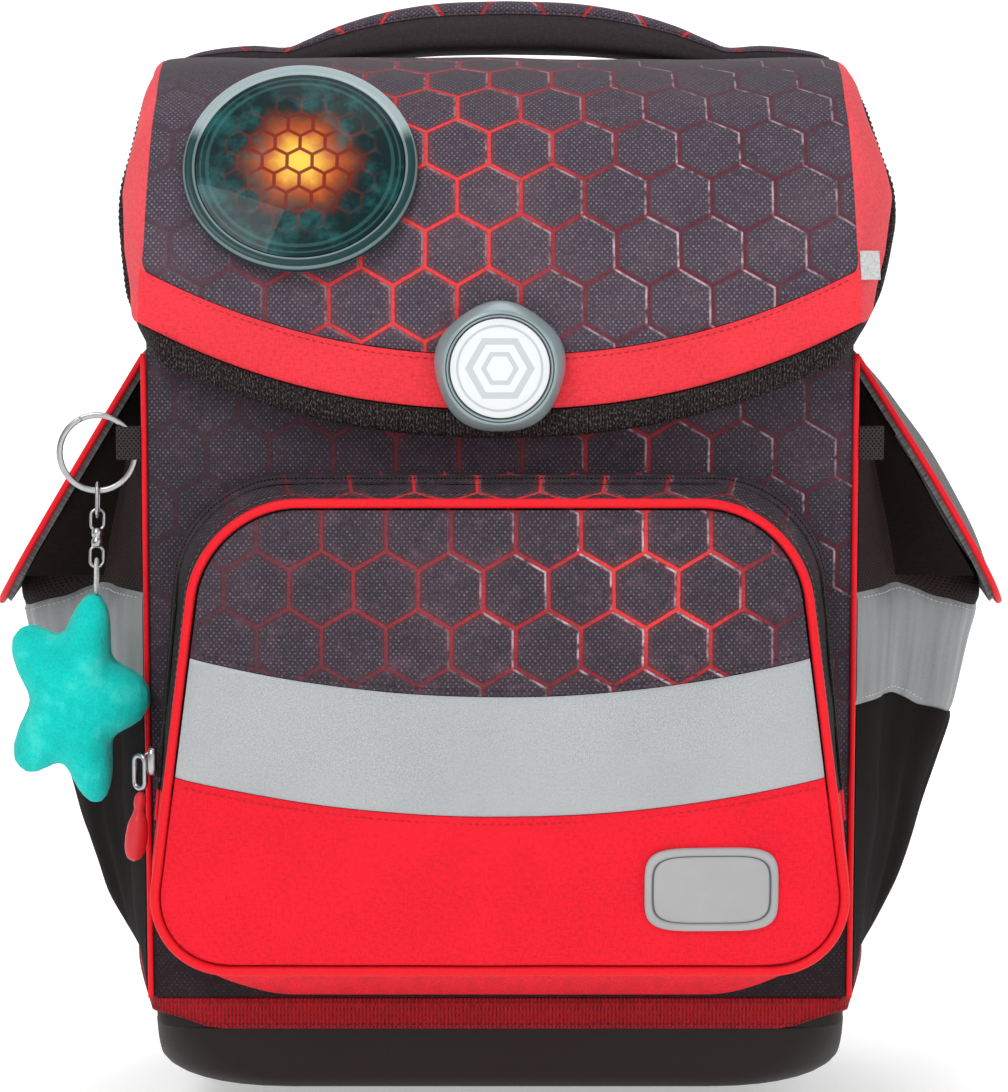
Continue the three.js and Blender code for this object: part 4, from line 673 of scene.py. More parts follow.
def make_body():
    """Body panels between the seams, with the piping of the front edges."""
    t, v = np.meshgrid(np.linspace(-1, 1, 60), np.linspace(0, 1, 60))
    flat = np.stack([t * 139.5, np.full_like(t, BODY_FRONT), lerp(PANEL_LOW, FRONT_PANEL_TOP, v)], axis=-1)
    flat[..., 1] += seam_dip(139.5 - np.abs(flat[..., 0]), 0.8, 3)
    cloth("front_cloth", flat, [0, -1, 0], PANEL_WALL, material("print_body"), ["front_panel"],
          uv=flat[..., [0, 2]], inward=[0, PANEL_WALL, 0])
    for hand, name in HANDS:
        y, v = np.meshgrid(np.linspace(-88.6, 83.6, 50), np.linspace(0, 1, 60))
        top = np.interp(y, LID.points[:, 0], LID.points[:, 1]) - 11
        grid = np.stack([hand * side_x(y), y, lerp(41.3, top, v)], axis=-1)
        grid[..., 0] -= hand * seam_dip(np.minimum(y + 88.6, 83.6 - y), 0.8, 4)
        cloth(f"side_cloth_{name}", grid, [hand, 0, 0], PANEL_WALL, material("black"), [f"side_panel_{name}"],
              inward=[-hand * PANEL_WALL, 0, 0])
        z = np.linspace(PANEL_LOW, 300, 60)
        path = np.stack([np.full_like(z, hand * 140.7), np.full_like(z, BODY_FRONT), z], axis=-1)
        piece(f"edge_cord_{name}", capped(*tube_grid(path, 1.15, [1, 0, 0], 14)), material("piping"),
              [f"edge_piping_{name}"], sharp=180)
    z = np.linspace(PANEL_LOW, 407.2, 80)
    past = np.clip((z - 387) / 20.2, 0, 1)
    half = 146.7 - 22 * (1 - np.sqrt(1 - past**2))
    t, rise = np.meshgrid(np.linspace(-1, 1, 60), z)
    back = np.stack([t * half[:, None], np.full_like(t, BODY_BACK), rise], axis=-1)
    back[..., 1] -= seam_dip(half[:, None] * (1 - np.abs(t)), 0.9, 3)
    cloth("back_cloth", back, [0, 1, 0], PANEL_WALL, material("black"), ["back_panel"],
          inward=[0, -PANEL_WALL, 0])


def make_lid():
    """Lid, front band and wings: strips of the lid's surface between seams, each dipped beside its seams."""
    wave = sizes().ripple / MM
    side, v = np.meshgrid(np.linspace(-1, 1, 200), np.linspace(0, 1, 160))
    start = hem_rise(side) + 32.6
    s = lerp(start, LID.length, v)
    flat = lid_point(side, s)
    edge = (1 - np.abs(side)) * LID_HALF_WIDTH
    proud = -seam_dip(s - start, 1.1, 2.2) - seam_dip(edge, 1.6, 2.6) - seam_dip(LID.length - s, 1.0, 2.5)
    proud += 0.9 * np.exp(-((s - start - 4.5) / 3) ** 2) * (edge > 0)
    grid = lid_point(side, s, proud + ripple(flat, 1.6 * wave, 26)[..., 0] * np.clip(edge / 12, 0, 1))
    inner = lid_point(side, s, -LID_WALL)
    uv = np.stack([side * LID_HALF_WIDTH * section(s, 1), s], axis=-1)
    cloth("lid_cloth", grid, [0, -0.6, 1], LID_WALL, material("print_lid"), ["lid_panel"],
          uv=uv, inward=inner - grid)

    side, v = np.meshgrid(np.linspace(-1, 1, 160), np.linspace(0, 1, 24))
    s = hem_rise(side) + lerp(11.3, 32.3, v)
    proud = -seam_dip(32.3 - 11.3 - v * 21, 0.7, 1.6) - seam_dip(v * 21, 0.7, 1.6)
    grid = lid_point(side, s, proud + ripple(lid_point(side, s), 0.5 * wave, 12)[..., 0])
    cloth("band_cloth", grid, [0, -1, 0], LID_WALL, material("red_band"), ["lid_band"],
          uv=np.stack([side * LID_HALF_WIDTH, s], axis=-1), inward=lid_point(side, s, -LID_WALL) - grid)
    side = np.linspace(-0.97, 0.97, 300)
    line = lid_point(side, hem_rise(side) + 30.2, -0.25)
    stitches("band_stitches", [(line, lid_normal(hem_rise(side) + 30.2))], material("thread_red"))

    for hand, name in HANDS:
        t, v = np.meshgrid(np.linspace(0, 1, 150), np.linspace(0, 1, 24))
        s = lerp(45.3 + 15 * v**2.5, LID.length, t)
        first, last = wing_share(s, 0.6), 1 - wing_share(s, 10)
        across = lerp(first, last, v)
        n = wing_normal(hand, across, s)
        depth = WING_DEPTH * section(s, 2) * (last - first)
        proud = (0.8 * np.sin(np.pi * v) - seam_dip(v * depth, 1.0, 2) - seam_dip((1 - v) * depth, 0.6, 2)
                 + ripple(wing_point(hand, across, s), 2.2 * wave, 14)[..., 0] * np.sin(np.pi * v))
        grid = wing_point(hand, across, s) + n * proud[..., None]
        cloth(f"wing_cloth_{name}", grid, [hand, 0, 0], WING_WALL, material("red_wing"), [f"lid_wing_{name}"],
              uv=np.stack([s, across * 39], axis=-1),
              inward=wing_point(hand, across, s) - n * WING_WALL - grid)


BINDING_SHAPE = [(0.03, 0.04), (0.03, 0.8), (0.1, 0.94), (0.3, 1), (0.6, 1), (0.8, 0.95), (0.93, 0.8), (1, 0.55),
                 (1, 0.35), (0.95, 0.05)]


def make_binding():
    """Binding: one thick tape round the lid's free edges. Its two edges and its normal follow the left wing,
    the hem and the right wing, and are joined by one smooth curve."""
    def wing(hand):
        s = np.linspace(58, LID.length, 16)
        return np.hstack([wing_point(hand, 1 - wing_share(s, BINDING_WIDTH), s), wing_point(hand, 1.0, s),
                          wing_normal(hand, np.ones_like(s), s)])
    side = np.linspace(-0.945, 0.945, 31)
    rise = hem_rise(side)
    hem = np.hstack([lid_point(side, rise + BINDING_WIDTH), lid_point(side, rise), lid_normal(rise)])
    path = Path(spline(np.vstack([wing(-1)[::-1], hem, wing(1)]), 20)).even(900)
    inside, outside, n = path[:, :3], path[:, 3:6], norm(path[:, 6:])
    shape = np.array(BINDING_SHAPE + BINDING_SHAPE[:1])
    across, through = shape[:, 0][:, None], (shape[:, 1] * BINDING_WALL - LID_WALL)[:, None]
    points = inside[:, None] + (outside - inside)[:, None] * across + n[:, None] * through
    piece("lid_edge_tape", capped(points, arc_uv(points)), material("binding"), ["lid_binding"])
    lines = [(inside + (outside - inside) * share + n * (BINDING_WALL - LID_WALL - 0.05), n) for share in (0.16,)]
    stitches("lid_edge_stitches", lines, material("thread_dark"))


HANDLE_TOP_SHARES = [[0, 1], [0.2, 0.96], [0.36, 0.83], [0.5, 0.62], [0.6, 0.4], [0.66, 0.29], [0.76, 0.32],
                     [0.9, 0.24], [1, 0.06]]
HANDLE_LOW_SHARES = [[0, 0.24], [0.2, 0.22], [0.36, 0.16], [0.5, 0.08], [0.6, 0.01], [0.66, 0], [1, 0]]
HANDLE_DEEP_SHARES = [[0, 1], [0.2, 1], [0.36, 0.98], [0.5, 0.95], [0.6, 0.9], [0.66, 0.86], [0.76, 0.8],
                      [0.9, 0.7], [1, 0.5]]


def make_handle():
    """Grab handle: rings along X over tables of its top, underside and depth; a printed strip lies on top."""
    under = np.array(LID.length - (LID_BACK - 78))
    seat = lid_point(0.0, under)[2] + 0.6
    n = lid_normal(under)
    slope = -n[1] / n[2]
    rise = 441 - seat
    top_of, low_of, deep_of = table(HANDLE_TOP_SHARES), table(HANDLE_LOW_SHARES), table(HANDLE_DEEP_SHARES)

    def rings(at, outline, grow=0.0, deep=1.0):
        x = at * 146
        share = np.abs(at)
        top, low_edge = rise * top_of(share), np.maximum(rise * low_of(share), 0)
        half = 14 * deep_of(share) * deep
        a, b = outline[:, 0][None], outline[:, 1][None]
        z = seat + ((top + low_edge) / 2)[:, None] + b * ((top - low_edge) / 2 + grow)[:, None]
        y = 78 + a * half[:, None]
        return np.stack(np.broadcast_arrays(3 + x[:, None], y, z + slope * (y - 78)), axis=-1)

    outline = spline([(-1, 0), (-0.86, 0.72), (-0.45, 1), (0.45, 1), (0.86, 0.72), (1, 0), (0.86, -0.8), (0, -1),
                      (-0.86, -0.8), (-1, 0)], 5)[:-1]
    at = np.linspace(-1, 1, 121)
    piece("handle_pad", loft_grids(rings(at, outline)), material("handle_cloth"), ["handle"], sharp=60)
    over = spline([(-0.955, 0.42), (-0.9, 0.66), (-0.78, 0.86), (-0.45, 1), (0.45, 1), (0.78, 0.86), (0.9, 0.66),
                   (0.955, 0.42)], 4)
    strip = rings(np.linspace(-0.96, 0.96, 130), over, grow=0.6, deep=1.045)
    cloth("handle_strip", strip, [0, 0, 1], 1.0, material("print_handle"), [])
    front = rings(np.linspace(-0.62, 0.62, 200), np.array([[-0.93, 0.55]]), grow=0.6, deep=1.045)[:, 0]
    stitches("handle_stitches", [(front, [0, -1, 0.35])], material("thread_dark"))


def make_lock():
    """Turn lock: a turned ring with five soft lobes round a turned disc. Its seat stays as in the frame."""
    back = LID_FRONT - (BINDING_WALL - LID_WALL) - SEAM
    centre = np.array([0, back, 296.0])
    ring = [(19.7, 0), (24.7, 0), (25.3, 1.2), (25.5, 2.7), (25.1, 4.6), (23.7, 6.75), (22.6, 8.3), (21.9, 8.9),
            (21.3, 9), (21.1, 8.9), (20.9, 8.45), (20.7, 8.9), (20.2, 8.95), (20, 8.8), (19.7, 8.2), (19.7, 0)]

    def lobes(a, profile):
        share = np.clip((profile[:, :1] - 20.9) / 3.8, 0, 1)
        return 1 + 0.02 * share * np.cos(5 * (a[None] - np.pi / 2))
    points, uv = lathe_grid(ring, centre, [0, -1, 0], 160, lobes)
    piece("lock_ring", [(points, uv)], material("bezel"), ["lock_bezel"], sharp=40)
    disc = [(0, 0), (19.4, 0), (19.4, 7.6), (19.3, 8.1), (18.9, 8.4), (12, 8.75), (0, 9)]
    points, uv = lathe_grid(disc, centre, [0, -1, 0], 128)
    piece("lock_disc", [(points, uv)], material("disc"), ["lock_cap"], sharp=40)
    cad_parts["lock_seat"].data.materials.clear()
    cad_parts["lock_seat"].data.materials.append(material("shell"))


def make_badge():
    """Badge: a turned rim and a turned glossy dome, on the lid and square to it."""
    s = np.array(LID.length - 186.5)
    n = lid_normal(s)
    centre = lid_point(0.0, s, 0.5) + [-78.4, 0, 0]
    rim = [(41.3, 0.2), (45, 0.2), (46.1, 0.9), (46.3, 2.3), (46, 3.8), (45.1, 4.6), (43.4, 4.75), (42, 4.6),
           (41.3, 4.2), (41.3, 0.2)]
    piece("badge_ring", [lathe_grid(rim, centre, n, 160)], material("badge_rim"), ["badge_rim"], sharp=45)
    r = np.linspace(41, 0, 20)
    dome = [(0, 1.7), (41, 1.7)] + [(a, 4.3 + 3.4 * (1 - (a / 41) ** 2.2)) for a in r]
    piece("badge_dome", [lathe_grid(dome, centre, n, 160)], material("badge_face"), ["badge_face"],
          sharp=45)


def make_label():
    u, v = np.meshgrid(np.linspace(0, 1, 8), np.linspace(0, 1, 8))
    grid = lid_point(1.0, 62 + v * 11.5) + np.stack([0.3 + u * 7.5, np.sin(u * 2.5) * 0.4, v * 0], axis=-1)
    cloth("side_tag", grid, [0, -1, 0.3], 0.8, material("label"), ["side_label"])


def make_pocket():
    """Front pocket: a gusset round it, three crowned panels, and the piping of its rim."""
    wave = sizes().ripple / MM
    shares = np.linspace(0, 1, 26)
    for upper, name, tint, slot in ((True, "upper", "print_gusset", "printed_cloth"),
                                    (False, "lower", "red_gusset", "red_cloth")):
        split = 130 + (SEAM / 2 if upper else -SEAM / 2)
        grid = gusset_grid(upper, split, shares, 0, 260)
        inner = gusset_grid(upper, split, shares, -2.6, 260)
        far = run_length(grid, 1)
        swell = np.sin(np.pi * shares)[:, None]
        near_rim = np.exp(-(1 - shares) / 0.22)[:, None]
        pucker = (0.55 * np.sin(far / 2.9) * near_rim + 0.4 * np.sin(far / 5.3 + 1) * swell
                  + ripple(grid, 2.5 * wave, 16)[..., 0] * swell)
        inward = norm(inner - grid)
        grid = grid - inward * (pucker * (0.35 if upper else 0.4))[..., None]
        cloth(f"gusset_cloth_{name}", grid, [0, 0, 1], 2.6, material(tint), [f"pocket_gusset_{name}"],
              inward=inner - grid)

    panel = pocket_outline(1, -2.7)
    rows = 56
    turn = (1 - np.cos(np.linspace(0, np.pi, rows))) / 2

    def front(name, node, low_edge, high_edge, sag_low, sag_high, tint, slot):
        side, v = np.meshgrid(np.linspace(-1, 1, 180), turn)
        z0 = lerp(low_edge, high_edge, v)
        half = outline_half(panel, z0)
        x = side * half
        z = z0 - 14 * lerp(sag_low, sag_high, v) * (1 - side**2)
        edge = half * (1 - np.abs(side))
        seam = np.minimum(z0 - low_edge, high_edge - z0)
        proud = 1.3 - seam_dip(edge, 1.2, 2.2) - seam_dip(seam, 0.8, 1.4)
        proud += ripple(pocket_face(x, z), 1.8 * wave, 24)[..., 0] * np.clip(edge / 10, 0, 1)
        grid = pocket_face(x, z, proud)
        cloth(name, grid, [0, -1, 0], 2.6, material(tint), [node], uv=grid[..., [0, 2]],
              inward=pocket_face(x, z, -1.3) - grid)

    front("lower_cloth", "pocket_lower_panel", 64.7, 138.2, 0, 1, "red", "red_cloth")
    front("band_tape", "pocket_reflective_band", 138.5, 185, 1, 1, "reflective", "reflective_tape")
    front("upper_cloth", "pocket_upper_panel", 185.3, 242.3, 1, 0, "print_pocket", "printed_cloth")

    rim = pocket_outline(1)
    upper = outline_run(rim, True, 130, 300)
    lower = outline_run(rim, False, 130, 300)[::-1]
    loop = Path(np.vstack([upper, lower[1:]])).even(600)[:-1]
    path = np.stack([loop[:, 0], rim_y(loop[:, 1]), loop[:, 1]], axis=-1)
    outward = norm(np.stack([loop[:, 0] / 134, loop[:, 0] * 0, (loop[:, 1] - 153) / 92], axis=-1))
    points, uv = tube_grid(path, 1.85, [0, 1, 0], 16, closed=True)
    piece("pocket_cord", [(points, uv)], material("piping"), ["pocket_piping"], sharp=180)

    def seam_line(height, grow, count=260):
        side = np.linspace(-0.975, 0.975, count)
        x = side * outline_half(panel, np.array(height))
        return pocket_face(x, height - 14 * (1 - side**2), 1.25 + grow)
    stitches("pocket_stitches", [(seam_line(187.6, 0), [0, -1, 0])], material("thread_dark"))
    stitches("pocket_stitches_low", [(seam_line(135.6, 0), [0, -1, 0])], material("thread_red"))
    ring = gusset_grid(True, 130, [0.87, 0.9], 0.3, 400)[0]
    stitches("gusset_stitches", [(ring, norm(ring * [1, 0, 1] - [0, 0, 153]))], material("thread_grey"))


def make_zip():
    """Zip of the pocket: tape over the gusset, a row of small teeth, slider, wire loop and rubber tab."""
    half = 9 / 2 / 40 / 1.0
    grow = (0.3, 1.0)
    outer = gusset_grid(True, 118, np.linspace(0.5 - half, 0.5 + half, 9), grow[1], 260)
    inner = gusset_grid(True, 118, np.linspace(0.5 - half, 0.5 + half, 9), grow[0], 260)
    cloth("zip_tape", outer, [0, 0, 1], 1.1, material("zip_tape"), ["pocket_zip"], inward=inner - outer)
    line = Path(gusset_grid(True, 118, [0.5, 0.5], 1.0, 900)[0])
    far = (np.arange(int(line.length / 1.5)) + 0.5) * 1.5
    at, step = line.at(far), norm(line.at(far + 0.3) - line.at(far - 0.3))
    a, t = np.linspace(0, 2 * np.pi, 7), np.linspace(-1, 1, 4)
    outward = np.cross(step, [0, 1.0, 0])
    outward *= np.sign((outward * (at - [0, 0, 130])).sum(axis=-1, keepdims=True))
    ring = (np.cos(a)[None, :, None] * outward[:, None] * 0.35 + np.sin(a)[None, :, None] * step[:, None] * 0.42)
    teeth = (at[:, None, None] + ring[:, None] * np.sqrt(1.05 - t**2)[None, :, None, None]
             + np.array([0, 1.0, 0]) * (t * 1.5)[None, :, None, None])
    piece("zip_teeth", [(teeth, None)], material("zip_teeth"), [], sharp=180)

    def slider_x(y, z):
        share = (BODY_FRONT - y) / (BODY_FRONT - rim_y(z))
        return -float(outline_half(pocket_outline(share, 3 * SEAM + 1.1), np.array(z)))
    y = float(lerp(BODY_FRONT, rim_y(141.0), 0.5))
    sx = slider_x(y, 141.0)
    oy, oz = superellipse(3.5, 5.5, 0.55, 48)
    taper = 1 - 0.22 * np.clip(oz / 5.5, 0, 1) ** 2
    rings = [np.stack([np.full_like(oy, sx - out), y + oy * taper * g, 141 + oz * g], axis=-1)
             for out, g in ((0, 0.94), (0.3, 1), (2.2, 1), (2.9, 0.9), (3.2, 0.7))]
    piece("zip_runner", loft_grids(rings), material("metal"), ["zip_slider"])
    bridge = np.array([[0, 0, 3.2], [1.3, 0, 2.6], [1.9, 0, 0.6], [1.9, 0, -1.2], [1.1, 0, -3], [0, 0, -3.6]])
    bridge = Path(spline(bridge * [-1, 1, 1] + [sx - 2.9, y, 141])).even(24)
    pull_x = sx - 3.2 - 4 * SEAM - 0.9
    a = np.linspace(0, np.pi, 16)
    across = 2.8 * np.cos(a)
    top = np.stack([pull_x - 1.2 - 0.8 * across, y + 0.6 * across, 143 - 2.5 * (1 - np.sin(a))], axis=-1)
    bottom = np.stack([pull_x - 1.2 + 0.8 * across, y - 0.6 * across, 130 + 2.5 * (1 - np.sin(a))], axis=-1)
    loop = Path(np.vstack([top, bottom, top[:1]])).even(64)[:-1]
    piece("zip_wire", [tube_grid(loop, 1.1, [0.6, 0.8, 0], 12, closed=True)], material("metal"), ["zip_puller"],
          sharp=180)
    piece("zip_bridge", capped(*tube_grid(bridge, 0.45, [0, 1, 0], 8)), material("metal"), [],
          sharp=180)
    wide_of = table([[0, 0.35], [0.08, 0.55], [0.16, 0.6], [0.25, 0.5], [0.32, 0.6], [0.45, 0.92], [0.62, 1.08],
                     [0.8, 1.04], [0.92, 0.8], [1, 0.45]])
    down = np.concatenate([[0, 0.015], np.linspace(0.04, 0.96, 40), [0.985, 1]])
    wide = wide_of(down) * np.sqrt(np.clip(np.minimum((down + 0.004) / 0.05, (1.004 - down) / 0.05), 0.02, 1))
    a = np.linspace(0, 2 * np.pi, 40, endpoint=False)[None]
    thick = 4.1 * wide
    rings = np.stack(np.broadcast_arrays(pull_x - 3 * (0.3 + down)[:, None] + thick[:, None] * np.cos(a),
                                         y + 4.5 * wide[:, None] * np.sin(a), (128.8 - 28 * down)[:, None]), axis=-1)
    piece("rubber_tab", loft_grids(rings), material("rubber"), ["puller_tab"], sharp=80)


def make_patch():
    """Rubber patch: rings of one rounded rectangle over the pocket's face, with a sunk line inside its rim."""
    rings = []
    for grow, proud in ((12, 0), (0, 0), (0, 1.3), (0.25, 1.85), (0.8, 2.2), (2.3, 2.2), (2.6, 1.95), (2.8, 1.5),
                        (3.6, 1.5), (3.9, 1.75), (4.4, 1.8), (16, 1.9)):
        x, z = superellipse(26 - grow, 16.5 - grow, 0.45 if grow < 10 else 0.6)
        rings.append(pocket_face(82 + x, 95.5 + z, 1.6 + proud))
    uv = np.stack([ring[:, [0, 2]] - [82, 95.5] for ring in rings])
    uv = np.concatenate([uv, uv[:, :1]], axis=1)
    piece("soft_patch", loft_grids(rings, uv), material("patch"), ["rubber_patch"], sharp=35)


def make_sides():
    """Side pockets, their bands and meshes, rivets, flaps with piping, and the seam loops."""
    wave = sizes().ripple / MM
    for hand, name in HANDS:
        def crease(t):
            return sum(deep * np.exp(-((t - place) / wide) ** 2)
                       for place, wide, deep in ((0.3, 0.03, 2.6), (0.17, 0.02, 0.7), (0.42, 0.018, 0.8),
                                                 (0.6, 0.03, 0.9), (0.76, 0.02, 0.6)))

        def droop(t):
            return 15.5 * np.clip((POCKET_DEPTHS(t) - 0.35) / 0.65, 0, 1)

        def strip(label, node, low_of, high_of, rows, tint, slot, waves):
            along, v = np.meshgrid(np.linspace(0, 1, 90), np.linspace(0, 1, rows))
            first, last = low_of(along), high_of(along)
            z = lerp(first, last, v)
            grid = side_pocket_point(hand, along, z)
            seam = np.minimum(z - first, last - z)
            dip = seam_dip(seam, 0.8, 1.6)
            bend = ripple(grid, waves * wave, 17)[..., 0] * np.sin(np.pi * along)
            loose = smooth((z - side_pocket_low(along)) / 26)
            grid[..., 0] += hand * (loose * (bend - crease(along)) - dip)
            inward = np.zeros_like(grid)
            inward[..., 0], inward[..., 1] = -hand * 2.4, -0.02 * grid[..., 1]
            cloth(f"{label}_{name}", grid, [hand, 0, 0], 2.4, material(tint), [f"{node}_{name}"], inward=inward)

        def band_low(t):
            return 158.5 - droop(t)

        def band_high(t):
            return 204 - droop(t)
        strip("pocket_cloth", "side_pocket", side_pocket_low, lambda t: band_low(t) - SEAM, 50, "black",
              "black_cloth", 5)
        strip("side_tape", "side_band", band_low, band_high, 24, "reflective_shaded_side", "reflective_tape", 1.5)
        strip("pocket_mesh", "side_mesh", lambda t: band_high(t) + SEAM, lambda t: 262 + 0 * t, 36, "mesh",
              "mesh_cloth", 2)
        along = np.linspace(0.02, 0.98, 260)
        sunk = np.stack([hand * (0.2 + crease(along)), 0 * along, 0 * along], axis=-1)
        rows = [side_pocket_point(hand, along, h(along) + d) - sunk for h, d in ((band_low, 2.4), (band_high, -2.4))]
        stitches(f"band_thread_{name}", [(r, [hand, 0, 0]) for r in rows], material("thread_white"))
        mouth = side_pocket_point(hand, np.linspace(0.01, 0.99, 120), 261.3) - [hand * 1.2, 0, 0]
        mouth[:, 0] -= hand * 1.6 * np.exp(-((np.linspace(0.01, 0.99, 120) - 0.3) / 0.03) ** 2)
        piece(f"mouth_tape_{name}", capped(*tube_grid(mouth, 2.1, [0, 0, 1], 12, flat=1.3)), material("binding"), [],
              sharp=180)

        spot = side_pocket_point(hand, 0.55, 56.0)
        n = norm(np.cross(spot - side_pocket_point(hand, 0.5, 56.0), spot - side_pocket_point(hand, 0.55, 60.0)))
        n *= np.sign(n[0] * hand)
        rivet = [(0, 0), (4, 0), (4, 0.5), (3.8, 1.1), (3.1, 1.6), (2.4, 2), (1.2, 2.2), (0, 2.2)]
        piece(f"rivet_cap_{name}", [lathe_grid(rivet, spot + n * 0.3, n, 40)], material("metal"),
              [f"side_rivet_{name}"], sharp=50)

        down = np.concatenate([np.linspace(0, 0.6, 24)[:-1], 0.6 + 0.4 * np.sin(np.linspace(0, np.pi / 2, 26))])
        across, fall = np.meshgrid(np.linspace(-1, 1, 70), down)
        edge = (1 - np.abs(across)) * 58
        proud = (-seam_dip(edge, 0.8, 2) - seam_dip((1 - fall) * 126, 0.8, 2)
                 + ripple(flap_point(hand, across, fall), 2 * wave, 20)[..., 0] * np.clip(edge / 12, 0, 1))
        grid = flap_point(hand, across * flap_half(fall), fall, proud)
        through = np.array([-hand * 3.7, 0, -2.2])
        plain = flap_point(hand, across * flap_half(fall), fall)
        cloth(f"flap_cloth_{name}", grid, [hand, 0, 0.5], 3, material("heather"), [f"side_flap_{name}"],
              inward=plain + through - grid)
        rim = np.vstack([plain[:, 0], plain[-1, 1:-1], plain[::-1, -1]])
        n = norm(-through)
        step = norm(np.gradient(rim, axis=0))
        outward = norm(np.cross(step, n)) * hand
        path = Path(spline(Path(rim + through * 0.2 + outward * 1.5).even(60), 6)).even(260)
        piece(f"flap_cord_{name}", capped(*tube_grid(path, 1.4, n, 12)), material("piping"),
              [f"side_flap_piping_{name}"], sharp=180)

        t, v = np.meshgrid(np.linspace(0, 1, 24), np.linspace(0, 1, 30))
        z = lerp(207, 292, v)
        for end, place in ((-1, "front"), (1, "back")):
            y = end * 51 - 2 + 4 * np.sin(np.pi * t) * np.sin(np.pi * v) + 2 * np.sin(5 * t + 2 * v)
            reach = 61 * (297 - z) / 102 - lerp(2.4, 0.6, v)
            bellows = np.stack([hand * (side_x(y) + 0.4 + np.maximum(reach, 0.2) * t), y, z], axis=-1)
            cloth(f"flap_gusset_{place}_{name}", bellows, [0, end, 0], 1.2, material("bellows"), [])

        a = np.linspace(0, 2 * np.pi, 49)
        c, s = np.sign(np.cos(a)) * np.abs(np.cos(a)) ** 0.4, np.sign(np.sin(a)) * np.abs(np.sin(a)) ** 0.4
        z = np.linspace(258, 271, 12)[:, None]
        outer, inner = (np.stack(np.broadcast_arrays(hand * (146.8 + (5.1 - w) * c), -88.4 + (3 - w) * s, z), axis=-1)
                        for w in (0, 1.3))
        piece(f"loop_tape_{name}", shell_grids(outer, inner, arc_uv(outer), ring=True), material("loop_tape"),
              [f"seam_loop_{name}"])


def oval(centre, wide, high, width, length, wire, flat=1.0):
    """A long link: two half circles joined by straight wires."""
    a = np.linspace(0, 2 * np.pi, 49)[:-1]
    lift = np.sin(a) * width / 2 + np.sign(np.round(np.sin(a), 6)) * (length - width) / 2
    path = centre + np.cos(a)[:, None] * width / 2 * wide + lift[:, None] * high
    return tube_grid(path, wire, np.cross(wide, high), 10, closed=True, flat=flat)


def make_charm():
    """Split ring, chain and plush star. The chain leans forward from the ring's lowest point."""
    turn = np.linspace(0, 4 * np.pi, 161)
    lift = np.interp(turn, [0, 1.8 * np.pi, 2.2 * np.pi, 4 * np.pi], [-0.5, -0.5, 0.5, 0.5])
    ring = np.stack([-159.4 + 15 * np.cos(turn + 2), -88.4 + lift, 260.5 + 15 * np.sin(turn + 2)], axis=-1)
    piece("split_ring", capped(*tube_grid(ring, 1.15, [0, 1, 0], 12, flat=0.45)), material("metal"), ["key_ring"],
          sharp=180)
    for node, tint in (("ring_link", "metal"), ("swivel", "metal"), ("star_ribbon", "label")):
        first, last = low(node), high(node)
        middle = (first + last) / 2
        lean = norm(np.array([0, -math.sin(0.26), -math.cos(0.26)]))
        along = lean * -1
        length = (last - first)[2] * 1.005
        if node == "swivel":
            half = length / 2
            pieces = [oval(middle + along * (half - 4.2), np.array([1.0, 0, 0]), along, 5.2, 8.4, 0.65),
                      oval(middle - along * (half - 4.2), np.array([1.0, 0, 0]), along, 5.2, 8.4, 0.65)]
            barrel = [(0, -3.8), (1.6, -3.8), (2.2, -3.3), (2.3, -1), (1.9, -0.4), (1.9, 0.4), (2.3, 1), (2.2, 3.3),
                      (1.6, 3.8), (0, 3.8)]
            pieces.append(lathe_grid(barrel, middle, along, 24))
            piece("chain_swivel", pieces, material("metal"), ["swivel"])
        else:
            wide = np.cross(along, [1.0, 0, 0])
            piece(f"{node}_wire", [oval(middle, wide, along, 6.1, length * 1.02, 0.7)], material(tint), [node],
                  sharp=180)

    first, last = low("plush_star"), high("plush_star")
    middle = (first + last) / 2
    level, a = np.meshgrid(np.sin(np.linspace(-np.pi / 2, np.pi / 2, 60)), np.linspace(0, 2 * np.pi, 151)[:-1],
                           indexing="ij")
    reach = np.sqrt(np.clip(1 - np.abs(level) ** 2.2, 0, 1))
    r = 31 * (1 + 0.24 * np.cos(5 * a) * reach**1.5) * reach
    seam = 1 - 0.035 * np.exp(-(level / 0.07) ** 2)
    out = a + np.pi / 2 - 0.31
    swell = 1 - 0.2 * (1 - np.cos(5 * a)) / 2 * reach * (1 - np.abs(level))
    star = np.stack([0.78 * r * np.cos(out) * seam, 15.5 * level * swell,
                     1.14 * r * np.sin(out) * seam], axis=-1)
    low_star, high_star = star.min(axis=(0, 1)), star.max(axis=(0, 1))
    star = star - (low_star + high_star) / 2 + middle
    star = middle + (star - middle) * 0.96
    obj = piece("star_body", loft_grids(star), material("plush"), ["plush_star"], sharp=180)

    def sew(points):
        """The seam round the star: points near its middle plane are drawn in."""
        drawn = 0.03 * np.exp(-((points[:, 1:2] - middle[1]) / 1.6) ** 2)
        return points + (middle - points) * drawn * [1, 0, 1]
    puff(obj, "plush_star", 2.2, 2.6, sew)


